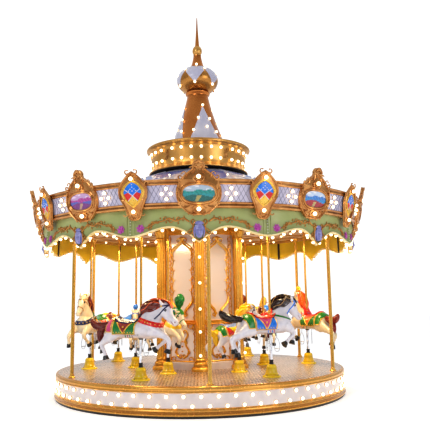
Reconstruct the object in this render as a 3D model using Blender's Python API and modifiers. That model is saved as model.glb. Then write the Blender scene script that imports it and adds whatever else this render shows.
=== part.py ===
"""Fairground carousel with a boarded crown, six outer poles and twelve rising horses.

The platform turns on a low plinth. Everything above the plinth is carried by the platform: the deck, the
centre cabinet, the ceiling, the crown, the roof and its tower. Each horse is one piece with its pole and
post, and slides up and down between a bell on the deck and a bore in the ceiling.
"""

import math

import bmesh
import bpy
from mathutils import Matrix, Vector

# Driving dimensions, in metres. Z = 0 is the ground under the plinth, and -Y is the front.
FLOOR_RADIUS = 2.10
FLOOR_HEIGHT = 0.361
PLINTH_RADIUS = 2.14
PLINTH_HEIGHT = 0.030
DECK_THICKNESS = 0.020
GAP = 0.0003

CEILING_HEIGHT = 2.420
CEILING_THICKNESS = 0.050
CEILING_CORNERS = 40

ROOF_RADIUS = 2.330
ROOF_TOP_RADIUS = 0.620
ROOF_SLOPE = 0.380
ROOF_THICKNESS = 0.030

# The crown is a ring of boards over a scalloped valance. The boards carry ten ovals with a shield between
# each two, and the valance hangs in nine scallops.
BOARD_COUNT = 5
BOARD_ANGLE = math.tau / BOARD_COUNT
BOARD_STEPS = 24
PLAQUE_ANGLE = math.tau / 20
PLAQUE_SWELL = 0.015
BOARD_BOTTOM = 2.415
BOARD_TOP = 2.750
BOARD_MIDDLE = (BOARD_BOTTOM + BOARD_TOP) / 2
BOARD_BOTTOM_RADIUS = 2.410
BOARD_TOP_RADIUS = 2.485
BOARD_LEAN = math.atan2(BOARD_TOP_RADIUS - BOARD_BOTTOM_RADIUS, BOARD_TOP - BOARD_BOTTOM)
RAIL_HEIGHT = 0.066
RAIL_PROJECTION = 0.016
RAIL_STEP = 0.006
SHELL_THICKNESS = 0.030
VALANCE_COUNT = 9
VALANCE_ANGLE = math.tau / VALANCE_COUNT
VALANCE_SEAM_ANGLE = math.radians(20)
VALANCE_STEPS = 12
VALANCE_TOP = CEILING_HEIGHT - GAP
VALANCE_TOP_RADIUS = 2.372
VALANCE_BOTTOM_RADIUS = 2.325
VALANCE_SWELL = 0.058
VALANCE_TIP = 2.017
VALANCE_SEAM = 2.092
VALANCE_PEAK = 2.195
VALANCE_PEAK_ANGLE = math.radians(8.3)
SEAM_GAP_ANGLE = 0.0001

POLE_COUNT = 6
POLE_FIRST_ANGLE = math.radians(3)
OUTER_POLE_RING = 2.045
OUTER_POLE_RADIUS = 0.024

# Each ring lists its horses' angles, how far each is turned from the ring's own direction, in degrees, and
# how far it stands above the middle of its stroke at rest. The inner horses are smaller and ride lower. A
# horse's head is level unless it is named as high or low, and a left lead has its legs the other way about.
OUTER_RING = 1.680
OUTER_ANGLES = (33, 93, 150, 236, 273, 333)
OUTER_TURNS = (0, 25, 0, 0, -22, 0)
OUTER_LIFTS = (-0.03, -0.06, 0.05, -0.09, -0.06, -0.06)
INNER_RING = 0.987
INNER_ANGLES = (33, 93, 153, 213, 273, 333)
INNER_TURNS = (0, 0, 0, 0, 0, -26)
INNER_LIFTS = (0.03, 0.01, 0.05, -0.03, -0.06, 0.03)
INNER_SCALE = 0.78
OUTER_MIDDLE = 1.050
INNER_MIDDLE = 0.920
HORSE_STROKE = 0.10
HIGH_HEADS = ("outer_2", "outer_5", "inner_3", "inner_5")
LOW_HEADS = ("outer_4",)
LEFT_LEADS = ("outer_1", "inner_2", "inner_5")
NOSES_UP = {"inner_1": math.radians(12)}
POLE_SPARE = 0.030
POST_SPARE = 0.015
HORSE_POLE_RADIUS = 0.017
HORSE_POST_RADIUS = 0.020
POST_CLEARANCE = 0.0015

BELL_RADIUS = 0.118
BELL_HEIGHT = 0.158
SLEEVE_TOP = 0.215

CABINET_RADIUS = 0.600
CABINET_PLINTH_RADIUS = 0.640
CABINET_PLINTH_HEIGHT = 0.085
COLUMN_RING = 0.665
COLUMN_RADIUS = 0.072
COLUMN_BASE_RADIUS = 0.135
COLUMN_BASE_HEIGHT = 0.150

DRUM_BOTTOM = 3.324
DRUM_TOP = 3.740
TOWER_BOTTOM = DRUM_TOP + GAP
ONION_BOTTOM = 4.706
ONION_TOP = 5.149
ONION_RADIUS = 0.336
SPIRE_TIP = 6.052

WHEEL_STEPS = 45
DRUM_STEPS = 36
TOWER_STEPS = 18
BELL_STEPS = 10


def clear_scene():
    for old in list(bpy.data.objects):
        bpy.data.objects.remove(old, do_unlink=True)


def new_collection(name):
    collection = bpy.data.collections.new(name)
    bpy.context.scene.collection.children.link(collection)
    return collection


def paint(name, colour, roughness=0.5, metallic=0.0):
    """A plain Principled material."""
    material = bpy.data.materials.new(name)
    material.use_nodes = True
    shader = material.node_tree.nodes["Principled BSDF"]
    shader.inputs["Base Color"].default_value = (*colour, 1.0)
    shader.inputs["Roughness"].default_value = roughness
    shader.inputs["Metallic"].default_value = metallic
    return material


clear_scene()
PARTS = new_collection("fairground_carousel")
CUTTERS = new_collection("cutters")

GOLD = paint("gold_paint", (0.62, 0.33, 0.08), 0.35, 0.7)
BLACK = paint("black_paint", (0.02, 0.02, 0.02), 0.5)
WHITE = paint("white_gloss", (0.80, 0.79, 0.82), 0.3)
TREAD = paint("tread_plate", (0.58, 0.47, 0.38), 0.3, 0.8)
YELLOW = paint("bell_yellow", (0.75, 0.50, 0.02), 0.35)
GREEN = paint("valance_green", (0.32, 0.38, 0.16), 0.5)
LILAC = paint("pale_lilac", (0.52, 0.50, 0.66), 0.4)
MIRROR = paint("cabinet_panels", (0.66, 0.58, 0.56), 0.2)
HORSE_WHITE = paint("horse_white", (0.78, 0.77, 0.80), 0.25)
HORSE_CREAM = paint("horse_cream", (0.72, 0.64, 0.48), 0.3)


def add_part(name, mesh, material, place=Matrix.Identity(4)):
    """Link a mesh to the model as one named sub-part."""
    part = bpy.data.objects.new(name, mesh)
    part.matrix_world = place
    mesh.materials.clear()
    mesh.materials.append(material)
    PARTS.objects.link(part)
    return part


def turned_mesh(name, profile, steps, closed=False):
    """A turned solid's evaluated mesh. The profile runs down the outer side, as (radius, height) pairs."""
    outline = bpy.data.meshes.new(name + "_profile")
    edges = [(i, i + 1) for i in range(len(profile) - 1)]
    if closed:
        edges.append((len(profile) - 1, 0))
    outline.from_pydata([(radius, 0.0, height) for radius, height in profile], edges, [])
    turning = bpy.data.objects.new(name + "_turning", outline)
    bpy.context.scene.collection.objects.link(turning)
    screw = turning.modifiers.new("turn", "SCREW")
    screw.axis = "Z"
    screw.steps = steps
    screw.render_steps = steps
    screw.use_merge_vertices = True
    screw.merge_threshold = 0.0001
    mesh = finished_mesh(turning, name)
    mesh.shade_smooth()
    mesh.set_sharp_from_angle(angle=math.radians(35))
    return mesh


def finished_mesh(source, name):
    """The mesh that an object's modifiers make. The object itself is removed."""
    bpy.context.view_layer.update()
    graph = bpy.context.evaluated_depsgraph_get()
    mesh = bpy.data.meshes.new_from_object(source.evaluated_get(graph))
    mesh.name = name
    mesh.transform(source.matrix_world)
    bpy.data.objects.remove(source, do_unlink=True)
    return mesh


def combined(name, meshes, operation="UNION"):
    """Join closed meshes into one body, or cut the later ones from the first."""
    base = bpy.data.objects.new(name + "_base", meshes[0])
    bpy.context.scene.collection.objects.link(base)
    tools = []
    for mesh in meshes[1:]:
        tool = bpy.data.objects.new(name + "_tool", mesh)
        tool.hide_render = True
        tool.display_type = "WIRE"
        CUTTERS.objects.link(tool)
        tools.append(tool)
        boolean = base.modifiers.new("join", "BOOLEAN")
        boolean.operation = operation
        boolean.solver = "EXACT"
        boolean.object = tool
    mesh = finished_mesh(base, name)
    for tool in tools:
        bpy.data.objects.remove(tool, do_unlink=True)
    return mesh


def cylinder_mesh(name, radius, bottom, top, sides, centre=(0.0, 0.0)):
    """An upright cylinder standing at a place in plan."""
    mesh = bpy.data.meshes.new(name)
    shape = bmesh.new()
    place = Matrix.Translation((centre[0], centre[1], (bottom + top) / 2))
    bmesh.ops.create_cone(shape, cap_ends=True, segments=sides, radius1=radius, radius2=radius,
                          depth=top - bottom, matrix=place)
    shape.to_mesh(mesh)
    shape.free()
    return mesh


def ring_place(angle, radius):
    """Plan position at an angle from the front, positive towards +X."""
    return Vector((radius * math.sin(angle), -radius * math.cos(angle), 0.0))


# Plinth, platform and rim

def build_plinth():
    profile = [(0.0, PLINTH_HEIGHT), (PLINTH_RADIUS - 0.008, PLINTH_HEIGHT), (PLINTH_RADIUS, 0.022),
               (PLINTH_RADIUS, 0.0), (0.0, 0.0)]
    add_part("base_plinth", turned_mesh("base_plinth", profile, WHEEL_STEPS), BLACK)


RIM_INNER = 2.080
RIM_LEVELS = {"lower": 0.115, "band": 0.285}


def build_platform():
    bottom = PLINTH_HEIGHT + GAP
    top = FLOOR_HEIGHT - DECK_THICKNESS - GAP
    platform_radius = RIM_INNER - GAP
    platform = [(0.0, top), (platform_radius, top), (platform_radius, bottom), (0.0, bottom)]
    add_part("platform_drum", turned_mesh("platform_drum", platform, WHEEL_STEPS), BLACK)

    lower_top = RIM_LEVELS["lower"]
    lower = [(RIM_INNER, lower_top), (2.132, lower_top), (2.150, 0.095), (2.144, 0.055), (2.152, bottom),
             (RIM_INNER, bottom)]
    add_part("rim_lower_moulding", turned_mesh("rim_lower_moulding", lower, WHEEL_STEPS, closed=True), GOLD)

    band_bottom = lower_top + GAP
    band_top = RIM_LEVELS["band"]
    band = [(RIM_INNER, band_top), (2.126, band_top), (2.128, band_bottom), (RIM_INNER, band_bottom)]
    add_part("rim_light_band", turned_mesh("rim_light_band", band, WHEEL_STEPS, closed=True), WHITE)

    nosing_bottom = band_top + GAP
    nosing_top = FLOOR_HEIGHT - 0.001
    nosing = [(2.101, nosing_top), (2.125, 0.352), (2.142, 0.325), (2.138, nosing_bottom),
              (RIM_INNER, nosing_bottom), (RIM_INNER, top), (2.101, top)]
    add_part("rim_upper_moulding", turned_mesh("rim_upper_moulding", nosing, WHEEL_STEPS, closed=True), GOLD)

    deck_bottom = top + GAP
    deck = [(0.0, FLOOR_HEIGHT), (FLOOR_RADIUS, FLOOR_HEIGHT), (FLOOR_RADIUS, deck_bottom),
            (0.0, deck_bottom)]
    add_part("deck", turned_mesh("deck", deck, WHEEL_STEPS), TREAD)


# Bells that guide the posts

def build_bells():
    bore = HORSE_POST_RADIUS + POST_CLEARANCE
    foot = FLOOR_HEIGHT + GAP
    outline = [(bore, SLEEVE_TOP), (0.024, SLEEVE_TOP), (0.028, BELL_HEIGHT), (0.050, BELL_HEIGHT - 0.004),
               (0.064, BELL_HEIGHT - 0.023), (0.079, 0.050), (BELL_RADIUS, 0.017), (BELL_RADIUS, 0.0),
               (bore, 0.0)]
    for name, place, _heading, _scale, _lift in horse_places():
        mesh = turned_mesh("bell_" + name, [(radius, foot + height) for radius, height in outline],
                           BELL_STEPS, closed=True)
        add_part("bell_" + name, mesh, YELLOW, Matrix.Translation(place))


# Outer poles

def build_outer_poles():
    foot = FLOOR_HEIGHT + GAP
    head = CEILING_HEIGHT - GAP
    profile = [(0.0, head), (0.045, head), (0.045, head - 0.012), (OUTER_POLE_RADIUS, head - 0.030),
               (OUTER_POLE_RADIUS, foot + 0.030), (0.045, foot + 0.012), (0.045, foot), (0.0, foot)]
    for index in range(POLE_COUNT):
        place = ring_place(POLE_FIRST_ANGLE + index * math.tau / POLE_COUNT, OUTER_POLE_RING)
        name = f"outer_pole_{index + 1}"
        add_part(name, turned_mesh(name, profile, 10), GOLD, Matrix.Translation(place))


# Horses

def horse_places():
    """Each horse's name, place on the deck, heading about Z, scale and lift at rest."""
    rings = (("outer", OUTER_RING, 1.0, OUTER_ANGLES, OUTER_TURNS, OUTER_LIFTS),
             ("inner", INNER_RING, INNER_SCALE, INNER_ANGLES, INNER_TURNS, INNER_LIFTS))
    places = []
    for ring, radius, scale, angles, turns, lifts in rings:
        for index, (angle, turn, lift) in enumerate(zip(angles, turns, lifts)):
            place = ring_place(math.radians(angle), radius)
            places.append((f"{ring}_{index + 1}", place, math.radians(angle + turn), scale, lift))
    return places


def join_sections(shape, sections):
    """Skin a row of closed sections and cap both ends."""
    for first, second in zip(sections, sections[1:]):
        for side in range(len(first)):
            other = (side + 1) % len(first)
            shape.faces.new((first[side], first[other], second[other], second[side]))
    shape.faces.new(sections[0])
    shape.faces.new(sections[-1])
    bmesh.ops.recalc_face_normals(shape, faces=shape.faces)


def tube_mesh(name, stations, sides):
    """A closed limb lofted through stations of (x, z, half width, half height), square to its path."""
    points = [Vector((x, 0.0, z)) for x, z, _w, _h in stations]
    shape = bmesh.new()
    rings = []
    for index, (_x, _z, width, height) in enumerate(stations):
        before = points[max(index - 1, 0)]
        after = points[min(index + 1, len(points) - 1)]
        along = (after - before).normalized()
        across = Vector((0.0, 1.0, 0.0))
        upward = along.cross(across)
        ring = []
        for side in range(sides):
            turn = math.tau * (side + 0.5) / sides
            offset = across * (width * math.cos(turn)) + upward * (height * math.sin(turn))
            ring.append(shape.verts.new(points[index] + offset))
        rings.append(ring)
    join_sections(shape, rings)
    mesh = bpy.data.meshes.new(name)
    shape.to_mesh(mesh)
    shape.free()
    return mesh


def moved(mesh, offset):
    """Shift a mesh in place and hand it back."""
    mesh.transform(Matrix.Translation(offset))
    return mesh


# Stations along each limb, as an outer horse stands in the middle of its stroke
HORSE_BODY = [(-0.487, 1.075, 0.040, 0.045), (-0.462, 1.070, 0.105, 0.105), (-0.390, 1.062, 0.142, 0.138),
              (-0.270, 1.055, 0.146, 0.125), (-0.100, 1.052, 0.148, 0.112), (0.060, 1.058, 0.148, 0.122),
              (0.190, 1.080, 0.132, 0.145), (0.275, 1.100, 0.090, 0.110), (0.305, 1.105, 0.040, 0.050)]
LEVEL_NECK = [(0.095, 1.120, 0.095, 0.120), (0.180, 1.215, 0.078, 0.125), (0.265, 1.315, 0.058, 0.102),
              (0.325, 1.378, 0.046, 0.068)]
LEVEL_HEAD = [(0.300, 1.395, 0.038, 0.042), (0.352, 1.335, 0.060, 0.090), (0.412, 1.255, 0.054, 0.086),
              (0.480, 1.175, 0.040, 0.060), (0.530, 1.115, 0.038, 0.048)]
LEVEL_MANE = [(0.050, 1.250, 0.045, 0.035), (0.105, 1.310, 0.062, 0.060), (0.195, 1.372, 0.060, 0.062),
              (0.290, 1.405, 0.046, 0.040), (0.360, 1.400, 0.030, 0.022)]
HIGH_NECK = [(0.076, 1.106, 0.095, 0.112), (0.145, 1.240, 0.079, 0.118), (0.180, 1.350, 0.060, 0.094),
             (0.192, 1.435, 0.045, 0.062)]
HIGH_HEAD = [(0.150, 1.492, 0.036, 0.036), (0.222, 1.450, 0.056, 0.074), (0.282, 1.372, 0.051, 0.072),
             (0.330, 1.285, 0.039, 0.052), (0.352, 1.228, 0.035, 0.043)]
HIGH_MANE = [(0.062, 1.235, 0.043, 0.033), (0.080, 1.320, 0.061, 0.052), (0.102, 1.405, 0.064, 0.054),
             (0.130, 1.478, 0.050, 0.040), (0.182, 1.516, 0.028, 0.023)]
LOW_NECK = [(0.130, 1.100, 0.095, 0.115), (0.260, 1.122, 0.078, 0.094), (0.380, 1.138, 0.060, 0.075),
            (0.450, 1.146, 0.046, 0.056)]
LOW_HEAD = [(0.430, 1.168, 0.036, 0.040), (0.500, 1.142, 0.056, 0.068), (0.580, 1.104, 0.050, 0.061),
            (0.655, 1.068, 0.038, 0.046), (0.702, 1.046, 0.034, 0.038)]
LOW_MANE = [(0.110, 1.188, 0.048, 0.028), (0.200, 1.208, 0.070, 0.038), (0.300, 1.214, 0.070, 0.038),
            (0.390, 1.212, 0.052, 0.032), (0.462, 1.200, 0.030, 0.020)]
HORSE_TAIL = [(-0.430, 1.130, 0.035, 0.035), (-0.540, 1.125, 0.046, 0.044), (-0.650, 1.135, 0.040, 0.040),
              (-0.735, 1.185, 0.020, 0.018)]
HORSE_SADDLE = [(-0.290, 1.190, 0.085, 0.030), (-0.230, 1.165, 0.125, 0.055), (-0.100, 1.125, 0.140, 0.055),
                (0.010, 1.150, 0.115, 0.055), (0.060, 1.205, 0.060, 0.050)]
NEAR_FRONT_LEG = [(0.200, 1.025, 0.055, 0.085), (0.350, 0.995, 0.046, 0.056), (0.458, 0.925, 0.036, 0.041),
                  (0.462, 0.850, 0.028, 0.030), (0.444, 0.790, 0.050, 0.048)]
FAR_FRONT_LEG = [(0.200, 1.020, 0.055, 0.085), (0.280, 0.985, 0.046, 0.056), (0.322, 0.930, 0.036, 0.040),
                 (0.228, 0.842, 0.028, 0.030), (0.162, 0.790, 0.050, 0.048)]
NEAR_HIND_LEG = [(-0.360, 1.030, 0.062, 0.115), (-0.475, 0.925, 0.046, 0.064), (-0.546, 0.860, 0.036, 0.042),
                 (-0.500, 0.760, 0.029, 0.032), (-0.488, 0.690, 0.051, 0.048)]
FAR_HIND_LEG = [(-0.360, 1.030, 0.062, 0.115), (-0.560, 0.950, 0.046, 0.060), (-0.682, 0.895, 0.036, 0.041),
                (-0.670, 0.815, 0.029, 0.031), (-0.658, 0.755, 0.051, 0.048)]
LEG_SPREAD = 0.082


def horse_mesh(name, scale):
    """A leaping horse about its pole's axis, heading +X, at the middle of its stroke."""
    limbs = [tube_mesh("body", HORSE_BODY, 8)]
    neck, head, mane = LEVEL_NECK, LEVEL_HEAD, LEVEL_MANE
    if name in HIGH_HEADS:
        neck, head, mane = HIGH_NECK, HIGH_HEAD, HIGH_MANE
    if name in LOW_HEADS:
        neck, head, mane = LOW_NECK, LOW_HEAD, LOW_MANE
    for limb, stations, sides in (("neck", neck, 6), ("head", head, 6), ("mane", mane, 5),
                                  ("tail", HORSE_TAIL, 5), ("saddle", HORSE_SADDLE, 6)):
        limbs.append(tube_mesh(limb, stations, sides))
    spread = -LEG_SPREAD if name in LEFT_LEADS else LEG_SPREAD
    for near_leg, far_leg in ((NEAR_FRONT_LEG, FAR_FRONT_LEG), (NEAR_HIND_LEG, FAR_HIND_LEG)):
        limbs.append(moved(tube_mesh("near_leg", near_leg, 5), (0.0, -spread, 0.0)))
        limbs.append(moved(tube_mesh("far_leg", far_leg, 5), (0.0, spread, 0.0)))
    middle = OUTER_MIDDLE if scale == 1.0 else INNER_MIDDLE
    about_middle = (Matrix.Translation((0, 0, middle)) @ Matrix.Scale(scale, 4)
                    @ Matrix.Rotation(-NOSES_UP.get(name, 0.0), 4, "Y"))
    for limb in limbs:
        limb.transform(about_middle @ Matrix.Translation((0, 0, -OUTER_MIDDLE)))
    pole_top = CEILING_HEIGHT + CEILING_THICKNESS + HORSE_STROKE + POLE_SPARE
    post_foot = FLOOR_HEIGHT + HORSE_STROKE + POST_SPARE
    limbs.append(cylinder_mesh("pole", HORSE_POLE_RADIUS, middle, pole_top, 6))
    limbs.append(cylinder_mesh("post", HORSE_POST_RADIUS, post_foot, middle + 0.001, 6))
    mesh = combined("horse", limbs)
    mesh.shade_smooth()
    mesh.set_sharp_from_angle(angle=math.radians(50))
    return mesh


def build_horses():
    for name, place, heading, scale, lift in horse_places():
        finish = HORSE_WHITE if scale == 1.0 else HORSE_CREAM
        raised = Matrix.Translation(place + Vector((0, 0, lift)))
        add_part("horse_" + name, horse_mesh(name, scale), finish, raised @ Matrix.Rotation(heading, 4, "Z"))


# Centre cabinet with its six columns

def build_cabinet():
    foot = FLOOR_HEIGHT + GAP
    head = CEILING_HEIGHT - GAP
    core = cylinder_mesh("cabinet_core", CABINET_RADIUS, foot, head, 6)
    profile = [(0.0, head), (0.110, head), (0.110, head - 0.060), (COLUMN_RADIUS, head - 0.120),
               (COLUMN_RADIUS, foot + COLUMN_BASE_HEIGHT), (0.100, foot + 0.110),
               (COLUMN_BASE_RADIUS, foot + 0.050), (COLUMN_BASE_RADIUS, foot), (0.0, foot)]
    plinth_top = foot + CABINET_PLINTH_HEIGHT
    pieces = [core, cylinder_mesh("cabinet_plinth", CABINET_PLINTH_RADIUS, foot, plinth_top, 6)]
    for index in range(6):
        column = turned_mesh("column", profile, 10)
        column.transform(Matrix.Translation(ring_place(index * math.tau / 6, COLUMN_RING)))
        pieces.append(column)
    add_part("centre_cabinet", combined("centre_cabinet", pieces), MIRROR)


# Crown boards and valance

def lofted_shell(name, angles, outer_of, inner_of):
    """A shell lofted through upright sections, each running up its outer side and down its inner side."""
    shape = bmesh.new()
    sections = []
    for angle in angles:
        sections.append([shape.verts.new((radius * math.sin(angle), -radius * math.cos(angle), height))
                         for radius, height in outer_of(angle) + inner_of(angle)])
    join_sections(shape, sections)
    shell = bpy.data.meshes.new(name)
    shape.to_mesh(shell)
    shape.free()
    return shell


def even_angles(first, last, steps):
    """Angles from the first to the last seam, less the gap there."""
    first += SEAM_GAP_ANGLE
    last -= SEAM_GAP_ANGLE
    return [first + (last - first) * step / steps for step in range(steps + 1)]


def board_radius(angle, height):
    """Outer face of the boards: it leans out as it rises, and swells a little at each shield."""
    share = (height - BOARD_BOTTOM) / (BOARD_TOP - BOARD_BOTTOM)
    plain = BOARD_BOTTOM_RADIUS + share * (BOARD_TOP_RADIUS - BOARD_BOTTOM_RADIUS)
    return plain + PLAQUE_SWELL * (1 - math.cos(angle * math.pi / PLAQUE_ANGLE)) / 2


def board_outside(angle):
    """The field between two raised rails, from the bottom up."""
    bottom = BOARD_BOTTOM + GAP
    lower_rail_top = BOARD_BOTTOM + RAIL_HEIGHT
    upper_rail_foot = BOARD_TOP - RAIL_HEIGHT
    levels = [(bottom, RAIL_PROJECTION), (lower_rail_top, RAIL_PROJECTION),
              (lower_rail_top + RAIL_STEP, 0.0), (upper_rail_foot - RAIL_STEP, 0.0),
              (upper_rail_foot, RAIL_PROJECTION), (BOARD_TOP, RAIL_PROJECTION)]
    return [(board_radius(angle, height) + proud, height) for height, proud in levels]


def board_inside(angle):
    heights = (BOARD_TOP, BOARD_BOTTOM + GAP)
    return [(board_radius(angle, height) - SHELL_THICKNESS, height) for height in heights]


def valance_radius(angle, height):
    """Outer face of the valance: it leans out as it rises, and swells towards each seam."""
    share = (height - VALANCE_TIP) / (VALANCE_TOP - VALANCE_TIP)
    plain = VALANCE_BOTTOM_RADIUS + share * (VALANCE_TOP_RADIUS - VALANCE_BOTTOM_RADIUS)
    return plain + VALANCE_SWELL * (1 - share) * (1 - math.cos(angle * VALANCE_COUNT)) / 2


def valance_edge(angle):
    """Height of the scalloped lower edge, from the tip at 0 to the seam at 20 degrees."""
    side = abs(angle)
    if side < VALANCE_PEAK_ANGLE:
        share = side / VALANCE_PEAK_ANGLE
        return VALANCE_TIP + (VALANCE_PEAK - VALANCE_TIP) * math.sin(share * math.pi / 2)
    share = (side - VALANCE_PEAK_ANGLE) / (VALANCE_SEAM_ANGLE - VALANCE_PEAK_ANGLE)
    return VALANCE_SEAM + (VALANCE_PEAK - VALANCE_SEAM) * (1 + math.cos(share * math.pi)) / 2


def valance_outside(angle):
    heights = (valance_edge(angle), (VALANCE_PEAK + VALANCE_TOP) / 2, VALANCE_TOP)
    return [(valance_radius(angle, height), height) for height in heights]


def valance_inside(angle):
    return [(radius - SHELL_THICKNESS, height) for radius, height in reversed(valance_outside(angle))]


# Half outlines of the plaques, from the bottom up, as (across, up) from the middle of the board
OVAL_HALF = [(0.030, -0.256), (0.110, -0.244), (0.180, -0.185), (0.240, -0.120), (0.270, -0.030),
             (0.268, 0.060), (0.242, 0.130), (0.252, 0.190), (0.205, 0.180), (0.165, 0.235), (0.095, 0.280),
             (0.068, 0.310), (0.080, 0.345), (0.050, 0.385), (0.018, 0.398)]
SHIELD_HALF = [(0.030, -0.298), (0.080, -0.272), (0.105, -0.190), (0.125, -0.130), (0.172, -0.030),
               (0.186, 0.050), (0.160, 0.135), (0.100, 0.205), (0.036, 0.270), (0.012, 0.290)]
OVAL_DEPTH = (-0.012, 0.048)
SHIELD_DEPTH = (RAIL_PROJECTION + 0.001, 0.060)
BOSS_WIDTH = (-0.110, -0.004)
BOSS_HALF_HEIGHT = 0.120
BOSS_DEPTH = (-0.012, 0.035)


def on_board(angle):
    """Frame on the board's middle at an angle: X along the board, Y up its lean, Z out of it."""
    lean, upright = math.sin(BOARD_LEAN), math.cos(BOARD_LEAN)
    frame = Matrix(((1.0, 0.0, 0.0, 0.0),
                    (0.0, -lean, -upright, -board_radius(angle, BOARD_MIDDLE)),
                    (0.0, upright, -lean, BOARD_MIDDLE),
                    (0.0, 0.0, 0.0, 1.0)))
    return Matrix.Rotation(angle, 4, "Z") @ frame


def plaque_mesh(name, half_outline, depth, place):
    """A flat plaque, symmetric about its middle, between two depths in front of the board."""
    points = half_outline + [(-across, up) for across, up in reversed(half_outline)]
    outline = bpy.data.curves.new(name, "CURVE")
    outline.dimensions = "2D"
    outline.fill_mode = "BOTH"
    outline.extrude = (depth[1] - depth[0]) / 2
    spline = outline.splines.new("POLY")
    spline.points.add(len(points) - 1)
    for point, (across, up) in zip(spline.points, points):
        point.co = (across, up, 0.0, 1.0)
    spline.use_cyclic_u = True
    plate = bpy.data.objects.new(name, outline)
    plate.matrix_world = place @ Matrix.Translation((0, 0, (depth[0] + depth[1]) / 2))
    bpy.context.scene.collection.objects.link(plate)
    mesh = finished_mesh(plate, name)
    shape = bmesh.new()
    shape.from_mesh(mesh)
    bmesh.ops.remove_doubles(shape, verts=shape.verts, dist=0.0001)
    bmesh.ops.recalc_face_normals(shape, faces=shape.faces)
    shape.to_mesh(mesh)
    shape.free()
    return mesh


def boss_mesh(place):
    """The block that holds a shield to its own board, clear of the seam."""
    size = Vector((BOSS_WIDTH[1] - BOSS_WIDTH[0], 2 * BOSS_HALF_HEIGHT, BOSS_DEPTH[1] - BOSS_DEPTH[0]))
    middle = Vector((sum(BOSS_WIDTH) / 2, 0.0, sum(BOSS_DEPTH) / 2))
    block = place @ Matrix.Translation(middle) @ Matrix.Diagonal((*size, 1.0))
    mesh = bpy.data.meshes.new("boss")
    shape = bmesh.new()
    bmesh.ops.create_cube(shape, size=1.0, matrix=block)
    shape.to_mesh(mesh)
    shape.free()
    return mesh


def build_boards():
    """Each board runs from shield to shield, with two ovals and a shield between them."""
    angles = even_angles(-PLAQUE_ANGLE, 3 * PLAQUE_ANGLE, BOARD_STEPS)
    pieces = [lofted_shell("board_shell", angles, board_outside, board_inside)]
    for index in range(2):
        pieces.append(plaque_mesh("oval", OVAL_HALF, OVAL_DEPTH, on_board(2 * index * PLAQUE_ANGLE)))
        at_shield = on_board((2 * index + 1) * PLAQUE_ANGLE)
        pieces.append(plaque_mesh("shield", SHIELD_HALF, SHIELD_DEPTH, at_shield))
        pieces.append(boss_mesh(at_shield))
    board = combined("board", pieces)
    for index in range(BOARD_COUNT):
        add_part(f"crown_board_{index + 1}", board, LILAC, Matrix.Rotation(index * BOARD_ANGLE, 4, "Z"))


def build_valance():
    angles = even_angles(-VALANCE_SEAM_ANGLE, VALANCE_SEAM_ANGLE, VALANCE_STEPS)
    scallop = lofted_shell("valance_shell", angles, valance_outside, valance_inside)
    for index in range(VALANCE_COUNT):
        add_part(f"valance_{index + 1}", scallop, GREEN, Matrix.Rotation(index * VALANCE_ANGLE, 4, "Z"))


# Ceiling, with a bore for each horse's pole

def build_ceiling():
    bottom = CEILING_HEIGHT
    top = CEILING_HEIGHT + CEILING_THICKNESS
    corners = []
    for index in range(CEILING_CORNERS):
        angle = index * math.tau / CEILING_CORNERS
        corners.append(ring_place(angle, board_radius(angle, bottom) - SHELL_THICKNESS - GAP))
    shape = bmesh.new()
    join_sections(shape, [[shape.verts.new((corner.x, corner.y, height)) for corner in corners]
                          for height in (bottom, top)])
    plate = bpy.data.meshes.new("ceiling_plate")
    shape.to_mesh(plate)
    shape.free()
    bore = HORSE_POLE_RADIUS + POST_CLEARANCE
    holes = [cylinder_mesh("hole", bore, bottom - 0.1, top + 0.1, 8, place[:2])
             for _name, place, _heading, _scale, _lift in horse_places()]
    add_part("ceiling", combined("ceiling", [plate] + holes, "DIFFERENCE"), GOLD)


# Roof, drum, tower, onion and finial

def build_roof():
    seat = CEILING_HEIGHT + CEILING_THICKNESS + GAP
    top = DRUM_BOTTOM - GAP
    eave = top - ROOF_SLOPE * (ROOF_RADIUS - ROOF_TOP_RADIUS)
    inside = ROOF_RADIUS - ROOF_THICKNESS
    throat = ROOF_TOP_RADIUS - ROOF_THICKNESS
    profile = [(ROOF_TOP_RADIUS, top), (ROOF_RADIUS, eave), (ROOF_RADIUS, seat), (inside, seat),
               (inside, eave - 0.020), (throat, top - 0.020), (throat, top)]
    add_part("roof_cone", turned_mesh("roof_cone", profile, WHEEL_STEPS, closed=True), LILAC)

    drum = [(0.0, DRUM_TOP), (0.815, DRUM_TOP), (0.825, 3.700), (0.765, 3.660), (0.735, 3.400),
            (0.790, 3.345), (0.787, DRUM_BOTTOM), (0.0, DRUM_BOTTOM)]
    add_part("lamp_drum", turned_mesh("lamp_drum", drum, DRUM_STEPS), GOLD)

    top = ONION_BOTTOM - GAP
    tower = [(0.0, top), (0.200, top), (0.200, 4.685), (0.172, 4.640), (0.214, 4.467), (0.277, 4.255),
             (0.349, 4.042), (0.376, 3.969), (0.441, 3.760), (0.450, TOWER_BOTTOM), (0.0, TOWER_BOTTOM)]
    add_part("tower_cone", turned_mesh("tower_cone", tower, TOWER_STEPS), LILAC)

    middle = (ONION_BOTTOM + ONION_TOP) / 2
    half = (ONION_TOP - ONION_BOTTOM) / 2
    steepest = math.radians(70)
    onion = [(0.0, ONION_TOP)]
    for step in range(9):
        slope = steepest - 2 * steepest * step / 8
        height = middle + half * math.sin(slope) / math.sin(steepest)
        onion.append((ONION_RADIUS * math.cos(slope), height))
    onion.append((0.0, ONION_BOTTOM))
    add_part("onion_dome", turned_mesh("onion_dome", onion, TOWER_STEPS), GOLD)

    foot = ONION_TOP + GAP
    finial = [(0.0, SPIRE_TIP), (0.006, SPIRE_TIP - 0.005), (0.038, 5.530), (0.078, 5.470), (0.078, 5.430),
              (0.060, 5.397), (0.111, 5.170), (0.111, foot), (0.0, foot)]
    add_part("finial", turned_mesh("finial", finial, 12), GOLD)


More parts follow.
